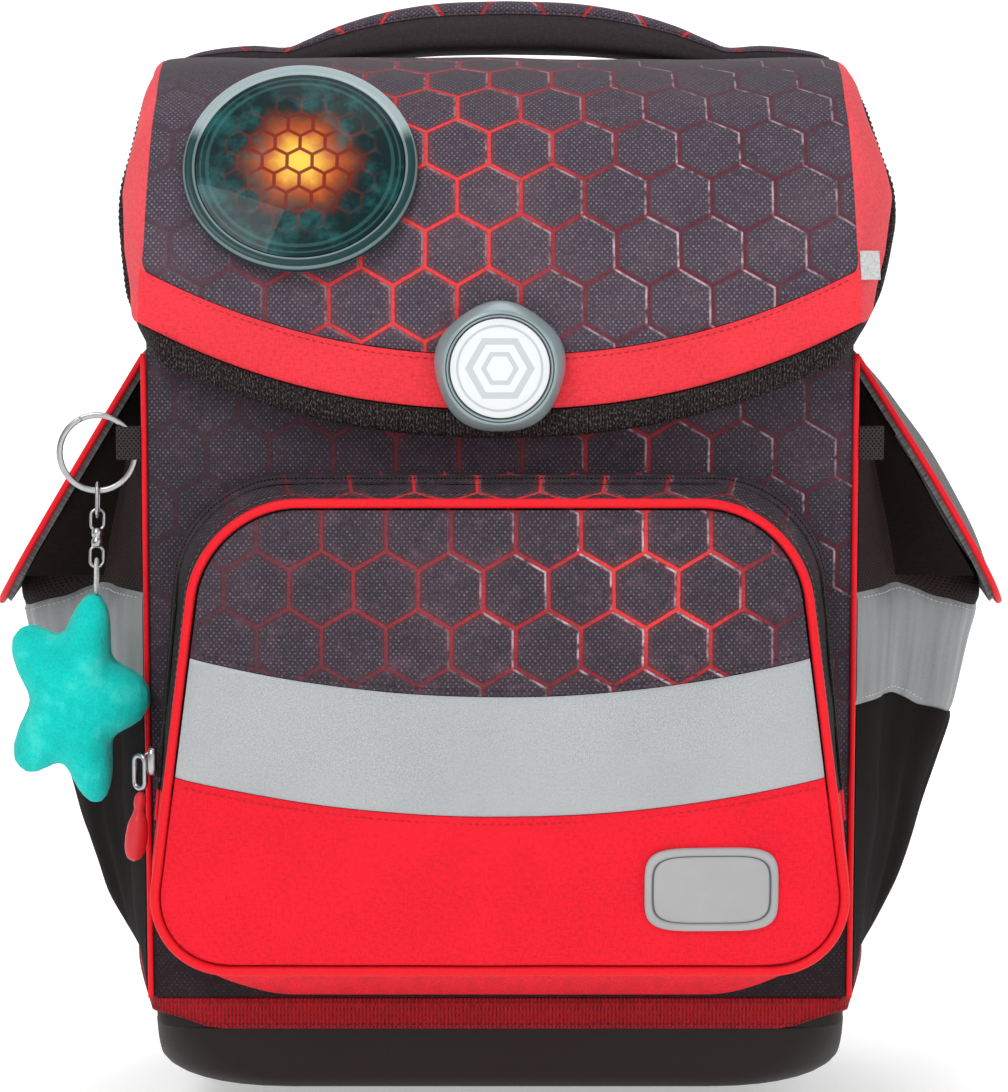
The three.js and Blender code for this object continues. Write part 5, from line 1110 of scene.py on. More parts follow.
def make_back():
    """Back pads, shoulder straps, their webbing and adjusters."""
    wave = sizes().ripple / MM
    route = spline([(0, 0), (-0.01, 0.35), (0.06, 0.72), (0.2, 0.95), (0.42, 1), (0.64, 0.9), (0.84, 0.66), (1, 0.42)])
    for hand, name in HANDS:
        rings = []
        for grow, out in ((1, 0), (1.0, 3), (0.995, 4.6), (0.98, 6), (0.955, 7.2), (0.92, 8.1), (0.87, 8.6),
                          (0.8, 8.9), (0.7, 9), (0.5, 9), (0.3, 9), (0.12, 9)):
            x, z = superellipse(52, 155, 0.35, 160)
            up = z * (1 - (1 - grow) * 0.35) if grow > 0.75 else z * grow * 1.12
            rings.append(np.stack([hand * 61 + x * grow, np.full_like(x, BODY_BACK + SEAM + out), 217 + up], axis=-1))
        rings = np.array(rings)

        def sew(points):
            """Sewn channels across the pad: its outer half is pulled in along three lines."""
            out = np.clip((points[..., 1] - BODY_BACK - SEAM - 4) / 4, 0, 1)
            channel = sum(np.exp(-((points[..., 2] - 217 - c) / 3.5) ** 2) for c in (-78, 0, 78))
            points[..., 1] -= 2.6 * channel * out
            return points
        obj = piece(f"pad_{name}", loft_grids(rings), material("mesh"), [f"back_pad_{name}"], sharp=60)
        puff(obj, f"back_pad_{name}", 4, 4, sew, BODY_BACK + SEAM)

        points = np.stack([hand * lerp(52, 74, np.clip(route[:, 0], 0, 1)), 86.9 + 49.8 * route[:, 1],
                           lerp(384, 150, route[:, 0])], axis=-1)
        line = Path(points)
        t = np.linspace(0, 1, 110)
        place = line.at(t * line.length)
        tangent = norm(line.at(t * line.length + 1) - line.at(t * line.length - 1))
        wide = norm(np.array([1.0, 0, 0]) - tangent * tangent[:, :1])
        thick = norm(np.cross(tangent, wide))
        thick *= np.sign(thick[:, 1:2] + 1e-9)
        ends = np.minimum(t, 1 - t) * line.length
        rounded = np.sqrt(np.clip(1 - (1 - np.clip(ends / 5, 0, 1)) ** 2, 0.05, 1))
        half = 29 * np.minimum(1, np.minimum(0.45 + 6 * t, 0.72 + 2 * (1 - t)))
        wall = 5.5 * np.minimum(1, 0.5 + 5 * t) * rounded
        outline = spline([(-1, 0), (-0.93, 0.5), (-0.6, 0.95), (0, 1), (0.6, 0.95), (0.93, 0.5), (1, 0),
                          (0.93, -0.5), (0.6, -0.95), (0, -1), (-0.6, -0.95), (-0.93, -0.5), (-1, 0)], 5)[:-1]
        rings = (place[:, None] + wide[:, None] * half[:, None, None] * outline[None, :, :1]
                 + thick[:, None] * wall[:, None, None] * outline[None, :, 1:])
        obj = piece(f"strap_{name}", loft_grids(rings), material("mesh"), [f"shoulder_strap_{name}"],
                    sharp=60)
        edge = place[:, None] + wide[:, None] * (half - 4.5)[:, None, None] * np.array([[-1.0], [1.0]])
        edge += (thick * (wall * 0.9)[:, None])[:, None]
        stitches(f"strap_thread_{name}", [(edge[4:-4, i], thick[4:-4]) for i in (0, 1)], material("thread_grey"))

        below = norm(line.at(line.length) - line.at(line.length - 2))
        start = line.at(line.length) + below * 3 * SEAM
        anchor = np.array([hand * 112, BODY_BACK + 2 * SEAM + 1.8, 52.0])
        straight = [start + below * 22 * share for share in (0, 0.5, 1, 1.5)]
        tape = Path(spline(straight + [lerp(start, anchor, 0.75) + [0, 5, 4], anchor]))
        at = np.linspace(0, tape.length, 80)
        place, tangent = tape.at(at), norm(tape.at(at + 1) - tape.at(at - 1))
        wide = norm(np.array([1.0, 0, 0]) - tangent * tangent[:, :1])
        thick = norm(np.cross(tangent, wide))
        thick *= np.sign(thick[:, 1:2])
        across = np.linspace(-12, 12, 9)
        outer, inner = (place[:, None] + wide[:, None] * across[None, :, None] + (thick * d)[:, None] for d in (0.9, -0.9))
        piece(f"strap_tape_{name}", shell_grids(outer, inner, arc_uv(outer)), material("tape_black"),
              [f"strap_webbing_{name}"])

        along, wide, thick = tangent[0], wide[0], thick[0]
        base = start + along * 0.7 * 22 + thick * (0.9 + 0.6)
        rings = []
        for out, grow in ((0, 0.6), (0, 0.97), (0.3, 1), (2.8, 1), (3.6, 0.94), (4, 0.86), (4, 0.6)):
            a, b = superellipse(18 * grow, 11 * grow, 0.3, 64)
            rings.append(base + wide * a[:, None] + along * b[:, None] + thick * out)
        piece(f"ladder_lock_{name}", loft_grids(rings), material("shell"), [f"strap_adjuster_{name}"],
              sharp=40)
        bars = []
        for place_at in (-5.5, 5.5):
            bar = base + along * place_at + thick * 4.2 + wide * np.linspace(-13, 13, 12)[:, None]
            bars += capped(*tube_grid(bar, 1.3, thick, 10))
        piece(f"lock_bars_{name}", bars, material("shell"), [], sharp=180)


# Materials: node groups give masks and heights, and each cloth or fitting mixes its colours from them


def tint(name):
    return (*getattr(bpy.context.scene.ransel_colours, name), 1.0)


class Nodes:
    """Adds nodes to a tree. Any input takes a value, a colour or another node's output."""

    def __init__(self, tree):
        self.tree = tree

    def put(self, socket, value):
        if isinstance(value, bpy.types.NodeSocket):
            self.tree.links.new(value, socket)
        else:
            socket.default_value = value

    def add(self, kind, *values, out=0, **settings):
        node = self.tree.nodes.new(kind)
        for key, value in settings.items():
            setattr(node, key, value)
        for socket, value in zip(node.inputs, values):
            if value is not None:
                self.put(socket, value)
        return node.outputs[out]

    def math(self, operation, *values, clamp=False):
        return self.add("ShaderNodeMath", *values, operation=operation, use_clamp=clamp)

    def mix(self, factor, a, b, blend="MIX"):
        node = self.tree.nodes.new("ShaderNodeMix")
        node.data_type, node.blend_type = "RGBA", blend
        for index, value in ((0, factor), (6, a), (7, b)):
            self.put(node.inputs[index], value)
        return node.outputs[2]

    def split(self, vector):
        node = self.tree.nodes.new("ShaderNodeSeparateXYZ")
        self.put(node.inputs[0], vector)
        return node.outputs

    def step(self, value, start, end):
        """0 before start, 1 after end, smooth between; start may be above end."""
        if start > end:
            return self.math("SUBTRACT", 1.0, self.step(value, end, start))
        return self.add("ShaderNodeMapRange", value, start, end, 0.0, 1.0, interpolation_type="SMOOTHSTEP")

    def noise(self, vector, scale, detail=3.0, roughness=0.55):
        return self.add("ShaderNodeTexNoise", vector, None, scale, detail, roughness)

    def bump(self, height, distance, strength=1.0, normal=None):
        node = self.tree.nodes.new("ShaderNodeBump")
        for key, value in (("Height", height), ("Distance", distance), ("Strength", strength)):
            self.put(node.inputs[key], value)
        if normal is not None:
            self.put(node.inputs["Normal"], normal)
        return node.outputs[0]

    def group(self, name, *values, out=0):
        node = self.tree.nodes.new("ShaderNodeGroup")
        node.node_tree = group(name)
        for socket, value in zip(node.inputs, values):
            self.put(socket, value)
        return node.outputs[out]


def wrapped(n, x, y, width, height):
    """Place within the nearer of two staggered grids of cells, so cells are hexagons or diamonds."""
    found = []
    for shift in (0.0, 0.5):
        sx = n.math("SUBTRACT", x, n.math("MULTIPLY", width, shift))
        sy = n.math("SUBTRACT", y, n.math("MULTIPLY", height, shift))
        half_w, half_h = n.math("MULTIPLY", width, 0.5), n.math("MULTIPLY", height, 0.5)
        cx = n.math("WRAP", sx, half_w, n.math("MULTIPLY", half_w, -1.0))
        cy = n.math("WRAP", sy, half_h, n.math("MULTIPLY", half_h, -1.0))
        far = n.math("ADD", n.math("MULTIPLY", cx, cx), n.math("MULTIPLY", cy, cy))
        found.append((cx, cy, far))
    (ax, ay, a), (bx, by, b) = found
    pick = n.math("LESS_THAN", a, b)
    near = [n.math("ADD", n.math("MULTIPLY", p, pick), n.math("MULTIPLY", q, n.math("SUBTRACT", 1.0, pick)))
            for p, q in ((ax, bx), (ay, by))]
    return near[0], near[1]


def comb_group(n, vector, width):
    """Hexagons: distance to the cell's edge, and distances inwards from its right and upper right sides."""
    x, y = n.split(vector)[0], n.split(vector)[1]
    gx, gy = wrapped(n, x, y, width, n.math("MULTIPLY", width, math.sqrt(3)))
    half = n.math("MULTIPLY", width, 0.5)
    ux, uy = n.math("ABSOLUTE", gx), n.math("ABSOLUTE", gy)
    slant = n.math("ADD", n.math("MULTIPLY", ux, 0.5), n.math("MULTIPLY", uy, math.sqrt(3) / 2))
    right_slant = n.math("ADD", n.math("MULTIPLY", gx, 0.5), n.math("MULTIPLY", gy, math.sqrt(3) / 2))
    return {"Edge": n.math("SUBTRACT", half, n.math("MAXIMUM", ux, slant)),
            "Right": n.math("SUBTRACT", half, n.math("MAXIMUM", gx, right_slant)), "Up": gy}


def dots_group(n, vector, pitch):
    """Round dots in staggered rows."""
    x, y = n.split(vector)[0], n.split(vector)[1]
    gx, gy = wrapped(n, x, y, pitch, n.math("MULTIPLY", pitch, 1.2))
    far = n.math("SQRT", n.math("ADD", n.math("MULTIPLY", gx, gx), n.math("MULTIPLY", gy, gy)))
    share = n.math("DIVIDE", far, pitch)
    return {"Dot": n.step(share, 0.24, 0.12)}


def weave_group(n, vector, pitch):
    """Plain weave: the product of two sines, and slow differences between neighbouring threads."""
    loose = n.add("ShaderNodeVectorMath", vector,
                  n.add("ShaderNodeVectorMath", n.noise(vector, 260.0, 1.0), None, None, 0.0002,
                        operation="SCALE"), operation="ADD")
    x, y = n.split(loose)[0], n.split(loose)[1]
    turn = n.math("DIVIDE", 2 * math.pi, pitch)
    a, b = n.math("SINE", n.math("MULTIPLY", x, turn)), n.math("SINE", n.math("MULTIPLY", y, turn))
    height = n.math("MULTIPLY_ADD", n.math("MULTIPLY", a, b), 0.5, 0.5)
    long, short = 430.0, 1250.0
    warp = n.add("ShaderNodeCombineXYZ", n.math("MULTIPLY", x, long), n.math("MULTIPLY", y, short), 0.0)
    weft = n.add("ShaderNodeCombineXYZ", n.math("MULTIPLY", x, short), n.math("MULTIPLY", y, long), 0.0)
    threads = n.math("ADD", n.noise(warp, 1.0, 1.0), n.noise(weft, 1.0, 1.0))
    grain = n.noise(vector, 1600.0, 2.0, 0.7)
    return {"Height": height, "Thread": n.math("MULTIPLY_ADD", grain, 0.7, n.math("SUBTRACT", threads, 1.35))}


def ribs_group(n, vector, pitch):
    """Ribs across a tape: a sine of the distance along it, with threads in it."""
    y = n.split(vector)[1]
    wave = n.math("SINE", n.math("MULTIPLY", y, n.math("DIVIDE", 2 * math.pi, pitch)))
    cross = n.math("SINE", n.math("MULTIPLY", n.split(vector)[0], n.math("DIVIDE", 2 * math.pi, pitch)))
    fine = n.noise(vector, 1100.0, 2.0, 0.7)
    fleck = n.noise(n.add("ShaderNodeVectorMath", vector, (420.0, 1500.0, 1.0), operation="MULTIPLY"), 1.0, 2.0, 0.7)
    threads = n.math("MULTIPLY_ADD", n.math("MULTIPLY", cross, wave), 0.2,
                     n.math("MULTIPLY_ADD", fine, 0.5, n.math("MULTIPLY_ADD", fleck, 1.6, -0.6)))
    return {"Height": n.math("MULTIPLY_ADD", wave, 0.3, threads)}


def mottle_group(n, place, pitch):
    """Slow unevenness of cloth and paint, from 0 to 1 about 0.5."""
    slow = n.noise(place, n.math("DIVIDE", 1.0, pitch), 4.0, 0.6)
    return {"Value": slow}


def spot_group(n, place, pitch):
    """A soft round area of light at the origin: a bell over the distance, flat along Y."""
    parts = n.split(place)
    x, z = parts[0], parts[2]
    far = n.math("DIVIDE", n.math("ADD", n.math("MULTIPLY", x, x), n.math("MULTIPLY", z, z)),
                 n.math("MULTIPLY", pitch, pitch))
    return {"Value": n.math("EXPONENT", n.math("MULTIPLY", far, -1.0))}


GROUPS = {"comb": comb_group, "dots": dots_group, "weave": weave_group, "ribs": ribs_group,
          "mottle": mottle_group, "spot": spot_group}


def group(name):
    """The node group of this name, built once: a vector and a length in, values out."""
    key = f"Ransel {name}"
    if key in bpy.data.node_groups:
        return bpy.data.node_groups[key]
    tree = bpy.data.node_groups.new(key, "ShaderNodeTree")
    tree.interface.new_socket("Vector", in_out="INPUT", socket_type="NodeSocketVector")
    tree.interface.new_socket("Length", in_out="INPUT", socket_type="NodeSocketFloat")
    source = tree.nodes.new("NodeGroupInput")
    results = GROUPS[name](Nodes(tree), source.outputs[0], source.outputs[1])
    sink = tree.nodes.new("NodeGroupOutput")
    for index, (label, socket) in enumerate(results.items()):
        tree.interface.new_socket(label, in_out="OUTPUT", socket_type="NodeSocketFloat")
        tree.links.new(socket, sink.inputs[index])
    return tree


def moved(n, vector, x=0.0, y=0.0, z=0.0):
    return n.add("ShaderNodeVectorMath", vector, (-x * MM, -y * MM, -z * MM), operation="ADD")


def glow(n, place, spots):
    """Sum of soft spots, each (x, z, size, strength) in millimetres."""
    total = 0.0
    for x, z, size, strength in spots:
        value = n.math("MULTIPLY", n.group("spot", moved(n, place, x, 0, z), size * MM), strength)
        total = value if total == 0.0 else n.math("ADD", total, value)
    return n.math("ADD", total, 0.0, clamp=True)


def woven(n, uv, place, colour_socket, rough=0.85, depth=0.00012, pitch=None, uneven=0.16, sheen=0.02,
          specular=0.2, slub=0.6):
    """Woven cloth over a colour: threads darken and lighten it and stand up, and the whole is uneven."""
    pitch = sizes().weave_pitch if pitch is None else pitch
    height, thread = n.group("weave", uv, pitch), n.group("weave", uv, pitch, out=1)
    mottle = n.group("mottle", place, 0.035)
    shade = n.math("ADD", n.math("MULTIPLY_ADD", height, 0.3, 0.8),
                   n.math("ADD", n.math("MULTIPLY", thread, slub),
                          n.math("MULTIPLY", n.math("SUBTRACT", mottle, 0.5), 2 * uneven)))
    shaded = n.mix(1.0, colour_socket, n.add("ShaderNodeCombineColor", shade, shade, shade), "MULTIPLY")
    soft = n.bump(mottle, 0.0025, 0.35)
    return {"Base Color": shaded, "Roughness": rough, "Specular IOR Level": specular, "Sheen Weight": sheen,
            "Sheen Roughness": 0.5, "Normal": n.bump(n.math("MULTIPLY_ADD", thread, slub, height), depth, 0.8, soft)}


# The printed hexagons are a little taller than regular ones.
COMB_SQUASH = 0.98


def printed(spots, light_spots, phase, ground_shade=1.0, worn=0.2, plain=None, seen=0.14,
            dark_below=None):
    """Printed cloth: staggered pale dots on a dark ground, and a comb of lines that glow in places and are
    dim in others, with a pale edge inside the right and upper right of each hexagon."""
    def build(n, uv, place):
        width = sizes().comb_width
        at = moved(n, uv, *phase)
        wobble = n.add("ShaderNodeVectorMath", n.add("ShaderNodeTexNoise", place, None, 60.0, 2.0, out=1), None, None,
                       0.0007, operation="SCALE")
        at = n.add("ShaderNodeVectorMath", n.add("ShaderNodeVectorMath", at, wobble, operation="ADD"),
                   (1.0, COMB_SQUASH, 1.0), operation="MULTIPLY")
        edge, right, up = (n.group("comb", at, width, out=i) for i in range(3))
        line_half = sizes().comb_line / 2
        line = n.step(edge, line_half * 1.2, line_half * 0.75)
        lit, pale = glow(n, place, spots), glow(n, place, light_spots)
        grunge = n.noise(place, 95.0, 5.0, 0.7)
        coarse = n.noise(moved(n, place, 300, 40, 20), 26.0, 4.0, 0.65)
        # Painted shade: the ground and the dots are darkened by a factor per piece, so the same printed cloth is darker
        # on the pocket, body and gusset than on the lid.
        blue = tuple(c * ground_shade for c in tint("cell"))
        ground = n.mix(n.step(coarse, 0.42, 0.72), blue, tuple(c * ground_shade for c in (0.085, 0.058, 0.076, 1)))
        ground = n.mix(n.math("MULTIPLY", n.step(grunge, 0.5, 0.7), worn), ground, (0.15, 0.08, 0.11, 1))
        dot = n.group("dots", uv, sizes().dot_pitch)
        if plain is not None:
            depth = n.split(place)[1]
            dot = n.math("MULTIPLY", dot, n.step(depth, plain[1], plain[0]))
            ground = n.mix(n.step(depth, *plain), ground, (0.064, 0.053, 0.063, 1))
        dot = n.math("MULTIPLY", dot, n.step(edge, line_half * 1.5, line_half * 2.6))
        dot = n.math("MULTIPLY", dot, n.math("MULTIPLY_ADD", n.noise(place, 420.0, 2.0, 0.7), 2.6, -0.8, clamp=True))
        cloth_colour = n.mix(n.math("MULTIPLY", dot, 0.6 * ground_shade), ground, tint("dot"))
        halo = n.math("MULTIPLY", n.step(edge, 0.004, 0.0), n.math("MULTIPLY", lit, 0.12))
        cloth_colour = n.mix(halo, cloth_colour, tint("line_bright"))
        band = n.math("MULTIPLY", n.step(right, line_half * 1.0, line_half * 1.5),
                      n.step(right, line_half * 2.9, line_half * 2.0))
        broken = n.step(n.noise(place, 180.0, 3.0, 0.6), 0.36, 0.6)
        band = n.math("MULTIPLY", n.math("MULTIPLY", band, broken), n.math("MULTIPLY", pale, 0.8))
        cloth_colour = n.mix(band, cloth_colour, tint("line_light"))
        strength = n.math("MULTIPLY_ADD", n.noise(place, 45.0, 3.0), 0.9, -0.45)
        colour_of_line = n.mix(n.math("ADD", n.math("MULTIPLY", lit, 1.15), n.math("MULTIPLY", strength, lit),
                                      clamp=True), tint("line_dark"), tint("line_bright"))
        fade = n.math("ADD", n.math("MULTIPLY_ADD", lit, 1.1, seen), n.math("MULTIPLY", pale, 0.55), clamp=True)
        whole = n.mix(n.math("MULTIPLY", line, n.math("MINIMUM", fade, 1.0)), cloth_colour, colour_of_line)
        if dark_below is not None:
            shadow = n.step(n.split(place)[2], dark_below + 0.012, dark_below - 0.012)
            whole = n.mix(n.math("MULTIPLY", shadow, 0.72), whole, tint("black"))
        return woven(n, uv, place, whole, uneven=0.1)
    return build


LID_SPOTS = [(-26, 372, 42, 0.9), (-38, 325, 46, 0.85), (22, 392, 34, 0.22)]
LID_LIGHT = [(70, 340, 55, 0.9), (120, 380, 60, 0.5), (0, 395, 60, 0.35), (-60, 330, 50, 0.3)]
POCKET_SPOTS = [(-60, 215, 42, 0.36), (-5, 205, 36, 0.3), (66, 208, 30, 0.85), (48, 236, 34, 0.38)]
POCKET_LIGHT = [(22, 205, 36, 1.0), (64, 215, 44, 0.8), (80, 180, 30, 0.5)]
BODY_SPOTS = [(-30, 268, 45, 0.3), (45, 262, 34, 0.35)]
BODY_LIGHT = [(75, 262, 50, 0.8), (122, 215, 42, 0.75)]


def plain_cloth(name, **settings):
    return lambda n, uv, place: woven(n, uv, place, tint(name), **settings)


def band_build(n, uv, place):
    return woven(n, uv, place, n.mix(0.06, tint("red"), (0.95, 0.5, 0.52, 1)), slub=0.45)


def wing_build(n, uv, place):
    return woven(n, uv, place, n.mix(0.2, tint("red"), (0.86, 0.36, 0.38, 1)), rough=0.8, slub=0.4)


def gusset_red(n, uv, place):
    """Plain red, darkened a little in long streaks that are painted shade of its puckers."""
    crease_shade = n.noise(n.add("ShaderNodeVectorMath", uv, (9.0, 1.5, 1.0), operation="MULTIPLY"), 22.0, 2.0)
    share = n.math("MULTIPLY_ADD", n.step(crease_shade, 0.3, 0.62), 0.35, 0.65)
    return woven(n, uv, place, n.mix(share, (0.50, 0.008, 0.018, 1), tint("red")), uneven=0.1)


def gusset_print(n, uv, place):
    """Gusset: the comb on top, and dark flecked cloth down its sides."""
    over = printed([(0, 250, 70, 0.8)], [(60, 250, 80, 0.4)], (-3.2, 4), ground_shade=0.5, worn=0.3)(n, uv, place)
    height = n.split(place)[2]
    speck = n.step(n.noise(place, 900.0, 2.0), 0.6, 0.72)
    side = n.mix(n.math("MULTIPLY", speck, 0.5), tint("black"), (0.2, 0.15, 0.16, 1))
    over["Base Color"] = n.mix(n.step(height, 0.205, 0.235), side, over["Base Color"])
    return over


def zip_tape_build(n, uv, place):
    """The gusset's cloth, and plain red where the tape ends over the red cloth."""
    tape = gusset_print(n, uv, place)
    tape["Base Color"] = n.mix(n.step(n.split(place)[2], 0.1295, 0.1305), tint("red"), tape["Base Color"])
    return tape


def ribbed(name, pitch, rough=0.75, depth=0.0005, contrast=0.6, round_it=False, flecks=0.0):
    """Ribbed tape: its ribs lie across it. Where the grid's columns run along the tape, its place is turned."""
    def build(n, uv, place):
        if round_it:
            uv = n.add("ShaderNodeVectorRotate", uv, rotation_type="EULER_XYZ")
            n.put(uv.node.inputs["Rotation"], (0.0, 0.0, math.pi / 2))
        height = n.group("ribs", uv, pitch)
        mottle = n.group("mottle", place, 0.03)
        shade = n.math("ADD", n.math("MULTIPLY_ADD", height, contrast, 1.0 - contrast * 0.6),
                       n.math("MULTIPLY_ADD", mottle, 0.4, -0.2))
        if flecks:
            long = n.add("ShaderNodeVectorMath", uv, (800.0, 1500.0, 1.0), operation="MULTIPLY")
            shade = n.math("MULTIPLY_ADD", n.step(n.noise(long, 1.0, 1.0), 0.5, 0.74), flecks,
                           n.math("SUBTRACT", shade, flecks * 0.2))
        colour_socket = n.mix(1.0, tint(name), n.add("ShaderNodeCombineColor", shade, shade, shade), "MULTIPLY")
        return {"Base Color": colour_socket, "Roughness": rough, "Normal": n.bump(height, depth, 0.9),
                "Specular IOR Level": 0.2}
    return build


def mesh(pitch, pale=(0.045, 0.028, 0.027, 1)):
    """Mesh: staggered dark holes in a knitted ground."""
    def build(n, uv, place):
        hole = n.group("dots", uv, pitch)
        fine = n.noise(uv, 1800.0, 1.0)
        ground = n.mix(n.math("MULTIPLY", fine, 0.8), tint("mesh"), pale)
        height = n.math("SUBTRACT", n.math("MULTIPLY", fine, 0.3), hole)
        return {"Base Color": n.mix(hole, ground, (0.004, 0.003, 0.003, 1)), "Roughness": 0.9,
                "Specular IOR Level": 0.15, "Normal": n.bump(height, 0.0006, 0.9)}
    return build


def heather_build(n, uv, place):
    fleck = n.noise(uv, 1300.0, 2.0, 0.7)
    long = n.noise(n.add("ShaderNodeVectorMath", uv, (400.0, 1700.0, 1.0), operation="MULTIPLY"), 1.0, 2.0)
    mixed = n.mix(n.step(n.math("MULTIPLY_ADD", long, 0.5, n.math("MULTIPLY", fleck, 0.5)), 0.4, 0.62),
                  (0.055, 0.05, 0.053, 1), (0.26, 0.245, 0.25, 1))
    return woven(n, uv, place, n.mix(0.45, mixed, tint("heather")), rough=0.95, sheen=0.1)


def reflective(share=1.0, streaks=0.0):
    """Reflective tape: a fine diamond grid with a sparkle of small beads, and soft streaks up it that are painted shade
    of its creases.
    """
    def build(n, uv, place):
        sparkle = n.noise(uv, 1150.0, 3.0, 0.85)
        bead = n.group("dots", uv, 0.0009)
        slow = n.group("mottle", place, 0.05)
        crease_shade = n.noise(n.add("ShaderNodeVectorMath", uv, (150.0, 14.0, 1.0), operation="MULTIPLY"), 1.0, 3.0)
        shade = n.math("ADD", n.math("MULTIPLY_ADD", sparkle, 0.8, 0.52), n.math("MULTIPLY_ADD", slow, 0.25, -0.12))
        shade = n.math("ADD", shade, n.math("MULTIPLY_ADD", bead, 0.1, n.math("MULTIPLY_ADD", crease_shade, streaks, -streaks / 2)))
        # Painted shade: the whole tape is darkened by a factor, which makes the side bands darker than the front band.
        shade = n.math("MULTIPLY", shade, share)
        colour_socket = n.mix(1.0, tint("reflective"), n.add("ShaderNodeCombineColor", shade, shade, shade), "MULTIPLY")
        return {"Base Color": colour_socket, "Roughness": 0.42, "Metallic": 0.15,
                "Normal": n.bump(n.math("ADD", sparkle, bead), 0.00008, 0.6)}
    return build


def moulded(name, rough=0.55, grain=1400.0, depth=0.00006, coat=0.0, uneven=0.25):
    """Moulded plastic or rubber: a fine grain, and slow differences in colour and gloss."""
    def build(n, uv, place):
        slow, fine = n.group("mottle", place, 0.03), n.noise(place, grain, 2.0)
        shade = n.math("MULTIPLY_ADD", slow, 2 * uneven, 1 - uneven)
        colour_socket = n.mix(1.0, tint(name), n.add("ShaderNodeCombineColor", shade, shade, shade), "MULTIPLY")
        gloss = n.math("MULTIPLY_ADD", slow, 0.2, rough - 0.1)
        return {"Base Color": colour_socket, "Roughness": gloss, "Coat Weight": coat,
                "Specular IOR Level": 0.22, "Normal": n.bump(fine, depth, 0.6)}
    return build


def patch_build(n, uv, place):
    """Moulded rubber with a dark line just inside its rim, by the power sum that shapes its outline."""
    rubber = moulded("patch", 0.6, uneven=0.12)(n, uv, place)
    parts = n.split(uv)
    shares = [n.math("POWER", n.math("ABSOLUTE", n.math("DIVIDE", parts[i], half * MM)), 2 / 0.45)
              for i, half in ((0, 22.8), (1, 13.3))]
    far = n.math("POWER", n.math("ADD", *shares), 0.45 / 2)
    rubber["Base Color"] = n.mix(n.math("MULTIPLY", ring_mask(n, far, 1.0, 0.012, 0.01), 0.85), rubber["Base Color"],
                                 (0.05, 0.05, 0.055, 1))
    return rubber


def metal_build(n, uv, place):
    slow = n.noise(place, 220.0, 3.0)
    return {"Base Color": n.mix(slow, (0.30, 0.30, 0.31, 1), (0.52, 0.52, 0.53, 1)), "Metallic": 1.0,
            "Roughness": n.math("MULTIPLY_ADD", slow, 0.2, 0.2), "Normal": n.bump(slow, 0.00005, 0.3)}


def bezel_build(n, uv, place):
    """Lacquered ring: two thin dark grooves by the distance from its middle."""
    far = n.add("ShaderNodeVectorMath", uv, operation="LENGTH", out=1)
    groove = n.math("ADD", ring_mask(n, far, 0.0209, 0.00016), ring_mask(n, far, 0.0198, 0.00016), clamp=True)
    slow = n.group("mottle", place, 0.012)
    base = n.mix(slow, tint("bezel"), (0.30, 0.37, 0.385, 1))
    return {"Base Color": n.mix(n.math("MULTIPLY", groove, 0.75), base, (0.05, 0.07, 0.075, 1)),
            "Roughness": n.math("MULTIPLY_ADD", slow, 0.15, 0.3), "Metallic": 0.25, "Coat Weight": 0.25,
            "Normal": n.bump(n.noise(place, 900.0, 2.0), 0.00003, 0.4)}


def ring_mask(n, far, radius, half, soft=0.0002):
    gap = n.math("ABSOLUTE", n.math("SUBTRACT", far, radius))
    return n.step(gap, half + soft, half)


def disc_build(n, uv, place):
    """Pale disc: a hexagon ring and two fine rings, moulded slightly into it."""
    far = n.add("ShaderNodeVectorMath", uv, operation="LENGTH", out=1)
    x, y = n.split(uv)[0], n.split(uv)[1]
    ux, uy = n.math("ABSOLUTE", x), n.math("ABSOLUTE", y)
    hexagon = n.math("MAXIMUM", uy, n.math("ADD", n.math("MULTIPLY", ux, math.sqrt(3) / 2), n.math("MULTIPLY", uy, 0.5)))
    mark = n.math("ADD", ring_mask(n, hexagon, 0.0105, 0.0011), ring_mask(n, far, 0.0165, 0.0003), clamp=True)
    mark = n.math("ADD", mark, ring_mask(n, hexagon, 0.0055, 0.0007), clamp=True)
    slow = n.noise(place, 300.0, 3.0)
    base = n.mix(n.math("MULTIPLY", slow, 0.2), tint("disc"), (0.7, 0.76, 0.78, 1))
    return {"Base Color": n.mix(n.math("MULTIPLY", mark, 0.75), base, tint("disc_mark")), "Roughness": 0.28,
            "Coat Weight": 0.3, "Normal": n.bump(n.math("MULTIPLY", mark, -1.0), 0.0003, 0.6)}


